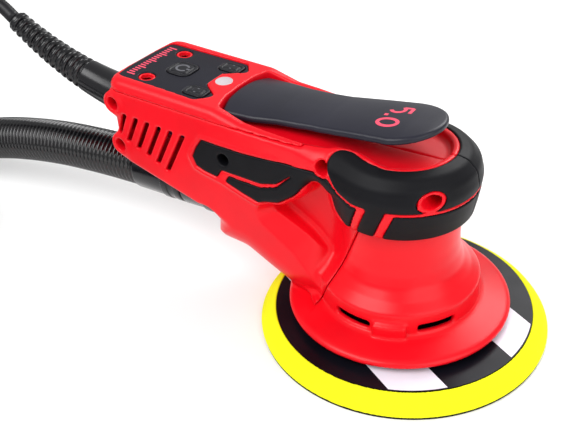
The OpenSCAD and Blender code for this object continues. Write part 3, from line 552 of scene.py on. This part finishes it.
def body(x, y, z, wells):
    """The outside of the machine above the pad, with the trough, hose socket and screw wells."""
    ear = np.minimum.reduce([np.hypot(x - p[0], z - p[1]) for p in EARS]) - EAR_R
    d = rmin(handle(x, y, z), rmax(ear, np.abs(np.abs(y) - 20) - 10.3, 1.5), 2.5)
    d = rmin(d, revolved(NECK, x, y, z), np.interp(z, [18, 33, 45], [4, 4, 5]))
    d = rmin(d, revolved(HEAD, x, y, z), 0.8 + 8 * ease((z - 80) / 8))
    plan = rmin(polygon(TROUGH_PLAN, x, y), np.hypot(x, y) - DISH_R, 2)
    d = rmax(d, -rmax(polygon(TROUGH, x, z), plan, 2.5), 0.7 + 0.8 * ease((x + 86) / 10))
    axis = np.hypot(y, z - DUCT_Z)
    d = rmax(d, -np.maximum(axis - 18, x + 99.6), 1.0)
    d = rmax(d, -np.maximum(axis - 14.7, x + 90), 0.6)
    if wells:
        well = np.minimum.reduce([np.hypot(x - p[0], z - p[1]) for p in WELLS]) - WELL_R
        d = rmax(d, -np.maximum(well, y - WELL_END), 0.8)
    return d.astype(np.float32)


def rubbers(x, y, z, wells):
    """Fields of the three overmoulds of one side: the head's front ring, the upper grip, the finger grip."""
    r = np.hypot(x, y)
    a = np.degrees(np.arctan2(-np.abs(y), x))
    mm = r * math.pi / 180
    first = np.interp(z, BAND_Z, [-106.5, -96.5])
    second = np.interp(z, BAND_Z, [-84.5, -75.5])
    front = rmax(np.maximum(BAND_Z[0] - z, z - BAND_Z[1]), (second + 3.5 - a) * mm, 0.9)
    between = np.maximum((a - second + 3.5) * mm, (first + 3.5 - a) * mm)
    tongue = rmax(np.maximum(BAND_Z[0] - z, z - 93), between, 0.9)
    belt = np.interp(x, [-28, -23, -17, -10, 0], [96.5, 94, 89.5, 86.9, 86.9])
    inner = rmin(np.maximum(np.abs(y) - 21.3, x), r - 25.7, 2)
    upper = rmax(belt - z, -inner, 1.2)
    upper = rmin(rmax(upper, -25.5 - x, 7), tongue, 1.2)
    if wells:
        upper = rmax(upper, 4.9 - np.hypot(x - FRONT_WELL[0], z - FRONT_WELL[1]), 0.4)
    finger = rmax(polygon(FINGER, x, z), 20 - np.abs(y), 0.5)
    finger = rmax(finger, (a - first + 3.5) * mm, 0.9)
    finger = rmax(finger, -polygon(L_STRIPE, x, z), 0.3)
    if wells:
        finger = rmax(finger, 4.7 - np.hypot(x - WRIST_WELL[0], z - WRIST_WELL[1]), 0.4)
    return front, upper, finger


def motor_side(x, y, z):
    """Negative where the motor housing is, ahead of its seam with the handle halves and in its skirt."""
    seam = np.interp(z, [17, 42, 71], [-31, -20, -8])
    ahead = np.maximum(z - 71.1, seam - x)
    return np.minimum(ahead, np.maximum(z - 18.4, np.hypot(x, y) - 57.8))


PANEL_X, PANEL_Z = -125, 116.45
TILT_COS, TILT_SIN = math.cos(math.radians(4.9)), math.sin(math.radians(4.9))


def panel_local(x, z):
    """Coordinates along and above the panel."""
    dx, dz = x - PANEL_X, z - PANEL_Z
    return dx * TILT_COS - dz * TILT_SIN, dx * TILT_SIN + dz * TILT_COS


def panel_world(along, above):
    """The x and z of places given along and above the panel."""
    return PANEL_X + along * TILT_COS + above * TILT_SIN, PANEL_Z - along * TILT_SIN + above * TILT_COS


def from_panel(p):
    """Points of the panel's own frame in the object's frame."""
    x, z = panel_world(p[:, 0], p[:, 2])
    return np.column_stack([x, p[:, 1], z])


WALL = 2.8
PANEL_PLAN = outline([
    (-26, -23.5, 4), (24, -24.3, 3), (30, -15.5, 3), (22, -9, 2), (19, -6.5, 2), (19, 6.5, 2), (22, 9, 2),
    (30, 15.5, 3), (24, 24.3, 3), (-26, 23.5, 4), (-29, 0, 60)])
SCREWS = [(-12, -16.2), (-12, 16.2)]
KEY_AT = {"power": (-1.5, 0.5, 14, 15), "plus": (19.2, -15.9, 12.6, 9.8), "minus": (19.2, 15.9, 12.6, 9.8)}


def lever_slots(x, y, z):
    """The two slots that the lever's ears reach through."""
    return np.maximum(np.maximum(np.abs(x + 77.5) - 5.5, np.abs(np.abs(y) - 11.05) - 3.65), 97 - z)


def half_shell(name, wells):
    """One handle half, the left as the mirror of the right without its screw wells."""
    g = x, y, z = grid((-161.6, 40), (-59, 1.2), (12.2, 121), 0.8)
    d = body(x, y, z, wells)
    fields = rubbers(x, y, z, wells)
    grip_edge = polygon(FINGER, x, z)
    bead = 0.65 * np.exp(-((grip_edge - 1.5) / 1.0) ** 2) * ease((-46 - x) / 8) * ease((-y - 18) / 4)
    d = d - bead.astype(np.float32)
    shell = np.maximum(d, -(d + WALL))
    for field in fields:
        shell = np.maximum(shell, np.minimum(-field, d + 1.6))
    vent = np.minimum.reduce([polygon([
        (-151.2 + 6 * i, 88 - 3 * i), (-148.8 + 6 * i, 88 - 3 * i),
        (-142.8 + 7.4 * i, 100 - 0.8 * i), (-145.2 + 7.4 * i, 100 - 0.8 * i)], x, z) for i in range(6)])
    shell = rmax(shell, -np.maximum(vent - 0.25, 24 - np.abs(y)), 0.5)
    shell = np.maximum(shell, -np.maximum(np.hypot(y, z - BOOT_Z) - 7.9, x + 145))
    shell = np.maximum(shell, -lever_slots(x, y, z))
    shell = rmax(shell, 0.16 - motor_side(x, y, z), 0.5)
    shell = rmax(shell, 0.14 - polygon(COVER, x, z), 0.5)
    shell = rmax(shell, y + 0.1, 0.35)
    return solid(name, shell, g, RED, mirror=not wells)


RUBBER_SPANS = [
    ((-40, 40), (-40, 0.6), (70, 87)), ((-26, 40), (-40, 0.6), (70, 106)), ((-104, 8), (-40, -18), (67, 99))]


def rubber_piece(name, which, wells):
    """One overmould, proud of the shell and sunk into it."""
    g = x, y, z = grid(*RUBBER_SPANS[which], 0.5)
    d = body(x, y, z, wells)
    field = rubbers(x, y, z, wells)[which]
    piece = rmax(rmax(d - 0.25, field + 0.15, 0.8), -(d + 1.45), 0.3)
    piece = rmax(piece, y + 0.08, 0.3)
    return solid(name, piece, g, RUBBER, mirror=not wells)


def done(piece, body_name, slot, *nodes):
    """Attaches a piece to its body and hides the CAD nodes it stands for; slot is not used."""
    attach(piece, body_name)
    if nodes:
        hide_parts(*nodes)
    return piece


done(half_shell("handle_right", True), "housing", "red_shell", "right_housing")
done(half_shell("handle_left", False), "housing", "red_shell", "left_housing")
for side, wells in (("right", True), ("left", False)):
    for which, name, node in ((0, "head_ring_" + side, "lower_band_" + side),
                              (1, "head_grip_" + side + "_moulded", "head_grip_" + side),
                              (2, "finger_grip_" + side + "_moulded", "finger_grip_" + side)):
        done(rubber_piece(name, which, wells), "housing", "black_rubber", node)


# ---------------------------------------------------------------- motor housing
def motor_shell():
    """The motor housing: skirt, air slots with their two tabs, and the front of the neck."""
    g = x, y, z = grid((-59, 59), (-59, 59), (12.4, 72.5), 0.8)
    d = body(x, y, z, False)
    d = np.maximum(d, -revolved(HOLLOW, x, y, z))
    r, a = np.hypot(x, y), np.degrees(np.arctan2(y, x))
    for start in (-114, -53, 28, 85):
        arc_off = (np.abs(a - start - 14) - 14) * 41 * math.pi / 180
        slot = rmax(np.abs(z - 23.9) - 2.1, arc_off, 1.2)
        d = rmax(d, -np.maximum(slot, 36 - r), 0.5)
    for middle in (-72, 72):
        slope = np.maximum(r - 43.6, z - 27.6 + 0.6 * (r - 41))
        tab = rmax((np.abs(a - middle) - 11) * 42 * math.pi / 180, slope, 1.0)
        d = rmin(d, np.maximum(tab, np.maximum(39 - r, 18 - z)), 0.8)
    d = rmax(d, motor_side(x, y, z) + 0.16, 0.5)
    return solid("motor_shell", d, g, RED_FRONT)


done(motor_shell(), "housing", "red_shell", "motor_housing")


# ---------------------------------------------------------------- cover, panel and keys
def key_field(key, x, y, grow, r):
    """A key's outline, grown by grow mm; the power key's corners are the roundest."""
    cx, cy, lx, ly = KEY_AT[key]
    corner = r * (2 if key == "power" else 1.3)
    return rmax(np.abs(x - cx) - lx / 2 - grow, np.abs(y - cy) - ly / 2 - grow, corner)


def cover_shell():
    """The cover, with the recess, key holes and screw rims of the panel."""
    g = x, y, z = grid((-160, -32), (-32, 32), (103.5, 121), 0.6)
    d = body(x, y, z, False)
    xl, zl = panel_local(x, z)
    plan = polygon(PANEL_PLAN, xl, y)
    level = np.maximum(zl, d + 0.3)
    shell = np.maximum(d, -(d + WALL))
    shell = rmax(shell, -np.maximum(plan, -(level + 1.25)), 0.35)
    for key in KEY_AT:
        shell = np.maximum(shell, -key_field(key, xl, y, 0.35, 2.5))
    for sx, sy in SCREWS:
        shell = rmin(shell, rmax(np.hypot(xl - sx, y - sy) - 4.3, np.abs(zl + 1.6) - 1.4, 0.4), 0.2)
        shell = rmax(shell, -(np.hypot(xl - sx, y - sy) - 3.2), 0.4)
    shell = np.maximum(shell, -lever_slots(x, y, z))
    shell = rmax(shell, polygon(COVER, x, z) + 0.14, 0.5)
    return solid("top_cover", shell, g, RED)


def panel_plate():
    """The black plate in the cover's recess, built lying flat and tilted into place."""
    g = xl, y, zl = grid((-32, 32), (-26, 26), (-3.2, 1.0), 0.4)
    x, z = panel_world(xl, zl)
    top = rmax(polygon(SIDE, x, z), polygon(PLAN, x, y), 4.5)
    level = np.maximum(zl, top + 0.3)
    d = rmax(polygon(PANEL_PLAN, xl, y) + 0.12, level, 0.4)
    d = np.maximum(d, -(level + 1.2))
    for key in KEY_AT:
        d = rmax(d, -key_field(key, xl, y, 0.3, 2.5), 0.25)
    for sx, sy in SCREWS:
        d = rmax(d, -(np.hypot(xl - sx, y - sy) - 4.6), 0.3)
    return solid("keypad_plate", d, g, PANEL, place=from_panel)


def key_piece(key, body_name, node):
    """A crowned rubber key with a fine groove inside its edge."""
    cx, cy, lx, ly = KEY_AT[key]
    half_x, half_y = lx / 2 + 1, ly / 2 + 1
    g = x, y, z = grid((cx - half_x, cx + half_x), (cy - half_y, cy + half_y), (-3.9, 1.6), 0.3)
    crown = 0.8 - 0.35 * (((x - cx) / lx * 2) ** 2 + ((y - cy) / ly * 2) ** 2) / 2
    edge = key_field(key, x, y, 0, 2.2)
    crown = crown - 0.55 * np.exp(-((edge + 2.1) / 0.4) ** 2)
    d = rmax(edge, z - crown, 0.5)
    d = np.maximum(d, -(z + 3.55))
    return done(solid("key_" + key, d, g, KEYS, place=from_panel), body_name, "button_rubber", node)


def icon(name, strokes, width, body_name, mat=ICON, lift=0.7, place=from_panel, height=None):
    """Raised strokes on a key or plate: each is (points, closed); height gives the surface when it isn't flat."""
    verts, faces = [], []
    for points, closed in strokes:
        p = np.asarray(points, dtype=float)
        n = len(p)
        if closed:
            t = np.roll(p, -1, axis=0) - np.roll(p, 1, axis=0)
        else:
            t = np.gradient(p, axis=0)
        t /= np.linalg.norm(t, axis=1)[:, None]
        side = np.column_stack([-t[:, 1], t[:, 0]]) * width / 2
        base = len(verts)
        for a, b in zip(p - side, p + side):
            za, zb = (lift, lift) if height is None else (height(*a), height(*b))
            verts += [(a[0], a[1], za - 0.4), (a[0], a[1], za + 0.08),
                      (b[0], b[1], zb + 0.08), (b[0], b[1], zb - 0.4)]
        last = n if closed else n - 1
        for i in range(last):
            j = (i + 1) % n
            faces += [[base + i * 4 + k, base + i * 4 + (k + 1) % 4, base + j * 4 + (k + 1) % 4, base + j * 4 + k]
                      for k in range(4)]
        if not closed:
            faces += [[base + k for k in (3, 2, 1, 0)], [base + (n - 1) * 4 + k for k in range(4)]]
    obj = mesh_object(name, place(np.array(verts)), faces, smooth=False)
    obj.data.materials.append(mat)
    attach(obj, body_name)
    return obj


def line(a, b, n=6):
    """Points from a to b."""
    return [(a[0] + (b[0] - a[0]) * i / n, a[1] + (b[1] - a[1]) * i / n) for i in range(n + 1)]


def turn(cx, cy, rx, ry, a0, a1, n=24):
    """Points on an oval from a0 to a1 degrees."""
    angles = [math.radians(a0 + (a1 - a0) * i / n) for i in range(n + 1)]
    return [(cx + rx * math.cos(a), cy + ry * math.sin(a)) for a in angles]


done(cover_shell(), "housing", "red_shell", "control_cover")
done(panel_plate(), "housing", "black_panel", "control_panel")
key_piece("power", "power_key", "power_button")
key_piece("plus", "plus_key", "plus_button")
key_piece("minus", "minus_key", "minus_button")
px, py = KEY_AT["power"][:2]
icon("power_sign", [(turn(px, py, 3.3, 3.3, 35, 325), False), (line((px + 1.2, py), (px + 4.2, py)), False)],
     1.2, "power_key")
qx, qy = KEY_AT["plus"][:2]
icon("plus_sign", [(line((qx - 2.2, qy), (qx + 2.2, qy)), False), (line((qx, qy - 2.2), (qx, qy - 0.4)), False),
                   (line((qx, qy + 0.4), (qx, qy + 2.2)), False)], 1.1, "plus_key")
mx, my = KEY_AT["minus"][:2]
icon("minus_sign", [(line((mx, my - 2.2), (mx, my + 2.2)), False)], 1.1, "minus_key")
icon("panel_ticks", [(line((-23.6, y), (-20.2 if k % 4 else -18.6, y), 2), False)
                     for k, y in enumerate(np.linspace(-18, 18, 17))], 1.1, "housing", PINK, lift=-0.05)


# ---------------------------------------------------------------- lens, lever and its numerals
def ring_profile(name, profile, mat, axis, sides=96):
    """A closed profile of (along, radius) points turned round an axis: (origin, direction)."""
    origin, direction = np.array(axis[0], dtype=float), unit(axis[1])
    side = unit(np.cross(direction, (0.1, 0.2, 1.0)))
    other = np.cross(direction, side)
    verts, m = [], len(profile)
    for a in np.linspace(0, 2 * math.pi, sides, endpoint=False):
        out = math.cos(a) * side + math.sin(a) * other
        verts += [origin + t * direction + r * out for t, r in profile]
    faces = [(i * m + k, ((i + 1) % sides) * m + k, ((i + 1) % sides) * m + (k + 1) % m, i * m + (k + 1) % m)
             for i in range(sides) for k in range(m)]
    obj = mesh_object(name, verts, faces)
    obj.data.materials.append(mat)
    split = obj.modifiers.new("edges", "EDGE_SPLIT")
    split.split_angle = math.radians(50)
    return obj


def soft_profile(points, r, n=3):
    """A closed profile with every corner rounded by r, or by the third number of a point."""
    return [tuple(p) for p in outline([(p[0], p[1], p[2] if len(p) > 2 else r) for p in points], n)]


LENS_X, LENS_SIZE = 25.0, (4.7, 5.3)


def lens_piece(name, grow, low, high, hollow, mat):
    """The oval lens, or the ring round it when hollow."""
    g = x, y, z = grid((LENS_X - 7, LENS_X + 7), (-6, 6), (-3.2, 2.4), 0.25)
    radius = np.hypot((x - LENS_X) / (LENS_SIZE[0] + grow), y / (LENS_SIZE[1] + grow))
    edge = (radius - 1) * (LENS_SIZE[1] + grow)
    crown = high - 0.5 * radius ** 2
    d = rmax(edge, z - crown, 0.3)
    if hollow:
        inside = np.hypot((x - LENS_X) / LENS_SIZE[0], y / LENS_SIZE[1]) - 1
        d = rmax(d, -inside * LENS_SIZE[1] + 0.05, 0.25)
    return solid(name, np.maximum(d, low - z), g, mat, place=from_panel)


done(lens_piece("lens_cap", -0.15, -2.2, 1.25, False, LENS), "housing", "lens_clear", "status_lens")
done(lens_piece("lens_bezel", 0.75, -1.6, 1.15, True, CHROME), "housing", "steel")

TIP = [(-2 + 22.2 * math.cos(a), 20.6 * math.sin(a), 0) for a in np.radians(np.arange(-84, 85, 6))]
LEVER_PLAN = outline([
    (-86.8, -21.9, 2), (-70, -21.4, 30), (-58, -19.2, 30), (-40, -18.3, 40), (-22, -19.2, 40), *TIP, (-22, 19.2, 40),
    (-40, 18.3, 40), (-58, 19.2, 30), (-70, 21.4, 30), (-86.8, 21.9, 2), (-89.8, 12, 20), (-90.4, 0, 30),
    (-89.8, -12, 20)])
TOP_X = [-92, -75, -60, -48, -35, -15, 5, 15, 25]
TOP_Z = [113.4, 113.0, 112.8, 112.9, 113.4, 115.4, 117.1, 117.6, 117.8]
HINGE_X, HINGE_Z, MAGNET_X = -78, 102.5, -6


def lever_top(x, y):
    """Height of the lever's top: dipped at the hand, falling to both sides."""
    return np.interp(x, TOP_X, TOP_Z) - 2.4 * (np.abs(y) / 21.5) ** 2.2


def lever_piece():
    """The paddle lever with its two hinge ears and the boss that holds the magnet."""
    g = x, y, z = grid((-92, 22), (-23.4, 23.4), (98.6, 119), 0.45)
    plan = polygon(LEVER_PLAN, x, y)
    top = z - lever_top(x, y)
    d = rmax(plan, top, 1.5)
    d = rmax(d, -(top + 3.1), 0.8)
    hinge, magnet = np.hypot(x - HINGE_X, z - HINGE_Z), np.hypot(x - MAGNET_X, y)
    ears = np.minimum(hinge - 3.2, np.maximum(np.abs(x - HINGE_X) - 2.5, np.maximum(HINGE_Z - z, z - 111)))
    d = rmin(d, rmax(ears, np.abs(np.abs(y) - 11) - 3, 0.4), 0.6)
    boss = rmax(magnet - 4.2, np.maximum(109.4 - z, z - 114), 0.4)
    d = rmin(d, boss, 0.5)
    d = np.maximum(d, -(hinge - 1.56))
    d = np.maximum(d, -np.maximum(magnet - 3.1, z - 111.8))
    return solid("palm_lever", d, g, LEVER)


def on_lever(name, strokes, width):
    """Strokes of (x, y) points laid on the lever's top."""
    return icon(name, strokes, width, "lever", PINK, place=lambda p: p,
                height=lambda x, y: float(lever_top(x, y)) - 0.02)


done(lever_piece(), "lever", "lever_plastic", "paddle_lever")
five = (line((1.0, 3.0), (1.0, 8.4), 6) + line((0.4, 8.9), (-3.0, 8.9), 4)
        + turn(-5.6, 6.1, 3.3, 3.1, 50, -160, 20))
on_lever("numeral_five", [(five, False)], 1.8)
on_lever("numeral_nought", [(turn(-5.2, -7.4, 4.8, 3.3, 0, 350, 35), True)], 1.8)
on_lever("numeral_point", [(line((-9.8, -0.5), (-7.9, -0.5), 2), False)], 1.9)


# ---------------------------------------------------------------- boot, port, cuff
def boot_path():
    """Out of the cover, then curving up from 8 to 36 degrees."""
    out, steps = [np.array([-151.0, 0, BOOT_Z]), np.array([-160.0, 0, BOOT_Z])], 150
    p = np.array([-161.4, 0, BOOT_Z])
    out.append(p)
    for i in range(steps):
        slope = math.radians(8 + 28 * (i + 0.5) / steps)
        p = p + BOOT_LENGTH / steps * np.array([-math.cos(slope), 0, math.sin(slope)])
        out.append(p)
    return np.array(out)


def boot_piece():
    """A tapering boot, plain near the cover and ribbed beyond."""
    path = boot_path()
    along = np.linspace(0, BOOT_LENGTH, len(path) - 2)
    radius = 11.3 - 0.056 * along - 0.5 * np.exp(-((along - 1) / 2.5) ** 2)
    pitch, start = 4.5, 35.0
    ripple = np.cos((along - start - pitch / 2) * 2 * math.pi / pitch)
    groove = np.where(along > start, np.clip(1.7 * ripple - 0.2, -1, 1), 0)
    ribbed = ease((along - start) / 0.6) * ease((90.5 - along) / 0.6)
    radius = radius - ribbed * (1.1 - 1.1 * np.clip(-groove + 0.1, -1, 1))
    radius = radius - 1.0 * ease((along - 90.6) / 1.4)
    radius = np.concatenate([[7.4, 7.4], radius])
    return tube("cord_boot", path, radius, 40, BOOT)


done(boot_piece(), "housing", "black_rubber", "cable_boot")
PORT_AXIS = ((0, 0, DUCT_Z), (1, 0, 0))
done(ring_profile("hose_port", soft_profile([
    (-91, 14.5, 0.3), (-91, 11), (-150, 11), (-150, 12.5), (-127.2, 12.5, 0.2), (-127.2, 15.5),
    (-112.6, 15.5, 0.3),
    (-112.2, 16.4), (-107.8, 16.4), (-107.4, 15.5, 0.3), (-103.6, 15.5, 0.3), (-103.6, 17.6), (-100.1, 17.6),
    (-100.1, 14.5, 0.2)], 0.6), BLACK, PORT_AXIS), "housing", "black_plastic", "dust_port")
done(ring_profile("hose_sleeve", soft_profile([
    (-128.3, 12.7, 0.3), (-151.2, 12.7, 0.2), (-151.2, 11, 0.2), (-163, 11, 0.5), (-163, 14.3, 1.6),
    (-141.5, 14.8, 0.4), (-140.8, 15.4, 0.6), (-137, 15.4, 0.6), (-136.4, 14.9, 0.3), (-133, 14.9, 0.3),
    (-132.4, 15.4, 0.6), (-128.3, 15.4, 0.7)],
    0.5), BLACK, PORT_AXIS), "housing", "black_plastic", "hose_cuff")


# ---------------------------------------------------------------- pad
ORBIT = 2.5


def foam_piece():
    """The foam ring with its six dust holes, off the motor's axis by the orbit."""
    g = x, y, z = grid((-74, 79), (-77, 77), (0.6, 10.6), (0.7, 0.7, 0.45))
    u = x - ORBIT
    profile = outline([
        (-20, 1.2, 0), (75, 1.2, 0.5), (75, 2.2, 0.8), (72.6, 5.6, 8), (67.6, 9.8, 1.0), (66.75, 9.8, 0.3),
        (66.75, 7.6, 0), (-20, 7.6, 0)])
    d = revolved(profile, u, y, z, 0.3)
    turns = [math.radians(60 * i) for i in range(6)]
    holes = np.minimum.reduce([np.hypot(u - 40 * math.cos(a), y - 40 * math.sin(a)) - 5 for a in turns])
    return solid("foam_layer", rmax(d, -holes, 0.5), g, FOAM)


done(foam_piece(), "pad", "foam_yellow", "foam_pad")


# ---------------------------------------------------------------- plug and the hose's far end
PLUG_Y, PLUG_Z = -244, 9


def plug_body():
    """A plug moulded on the cord, with a waist for the fingers and a ribbed neck."""
    g = x, y, z = grid((-171, -131), (-264, -224), (-0.4, 19), 0.5)
    across, above = np.abs(y - PLUG_Y), np.abs(z - PLUG_Z)
    section = rmax(rmax(across - 18, above - 8.4, 6), (across * 0.55 + above) - 15.2, 3)
    waist = 2.2 * np.exp(-((x + 143) / 5.0) ** 2)
    d = rmax(section + waist, np.maximum(x + 133.2, -157 - x), 1.6)
    neck_r = 7.4 - 0.16 * (-155 - x)
    ribs = 0.55 * np.cos((x + 169) * 2 * math.pi / 3.6)
    neck = np.maximum(np.hypot(y - PLUG_Y, z - PLUG_Z) - neck_r + ribs, np.maximum(-169.2 - x, x + 153))
    return solid("mains_plug", rmin(d, neck, 1.5), g, CORD)


plug = plug_body()
pins = [ring_profile(name, soft_profile([
    (-134, 0.05, 0), (-134, 2.35, 0), (-114.9, 2.35, 1.2), (-114.2, 0.9, 0.3), (-114.2, 0.05, 0)], 0.3),
    STEEL, ((0, y, PLUG_Z), (1, 0, 0)), 32) for name, y in (("plug_pin_a", -253.5), ("plug_pin_b", -234.5))]
fit_at = (hose_at[0], hose_at[1] - top_r, rest_z)
fitting = ring_profile("vacuum_cuff", soft_profile([
    (0, 12.2, 0.3), (0, 15.7, 1.2), (5.6, 15.7, 0.3), (6, 16.6), (9, 16.6), (9.3, 15.9, 0.2), (11.2, 15.9, 0.2),
    (11.5, 16.6), (14.5, 16.6), (14.8, 15.9, 0.2), (16.7, 15.9, 0.2), (17, 16.6), (20, 16.6), (20.3, 15.9, 0.2),
    (22.2, 15.9, 0.2), (22.5, 16.6), (26, 16.6), (28.5, 17.4, 0.6), (78, 17.4, 1.0), (78, 15.0, 0.6),
    (20, 15.0, 0.5), (20, 12.2, 0.4)], 0.5), BLACK, (fit_at, (1, 0, 0)))
for piece, slot in (
        (power_cord, "cord_rubber"), (cord_tie, "hook_black"), (dust_hose, "hose_plastic"), (hose_tie, "hook_black"),
        (plug, "cord_rubber"), (pins[0], "steel"), (pins[1], "steel"), (fitting, "black_plastic")):
    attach(piece, "housing")
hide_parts("power_cord", "cord_coil")
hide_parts("dust_hose", "hose_coil")
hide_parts("power_plug")
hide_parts("hose_end_fitting")

# ---------------------------------------------------------------- finish of the CAD nodes that show as they are
SLOTS = {
    "red_shell": RED, "black_panel": PANEL, "lever_plastic": LEVER, "black_rubber": RUBBER,
    "button_rubber": KEYS, "black_plastic": BLACK, "lens_clear": LENS, "foam_yellow": FOAM, "hook_black": HOOK,
    "white_print": PRINT, "steel": STEEL, "bearing_steel": CHROME, "lamination": LAMINATION, "magnet": MAGNET,
    "copper": COPPER, "alloy": ALLOY, "board_green": BOARD, "capacitor_sleeve": SLEEVE, "switch_grey": GREY,
    "fibre": FIBRE, "hose_plastic": HOSE, "cord_rubber": CORD}
for row in frame["record"]["subparts"]:
    node = frame["nodes"][row["node"]]
    node.data.materials.clear()
    node.data.materials.append(PLATE if row["node"] == "backing_plate" else SLOTS[row["material_slot"]])
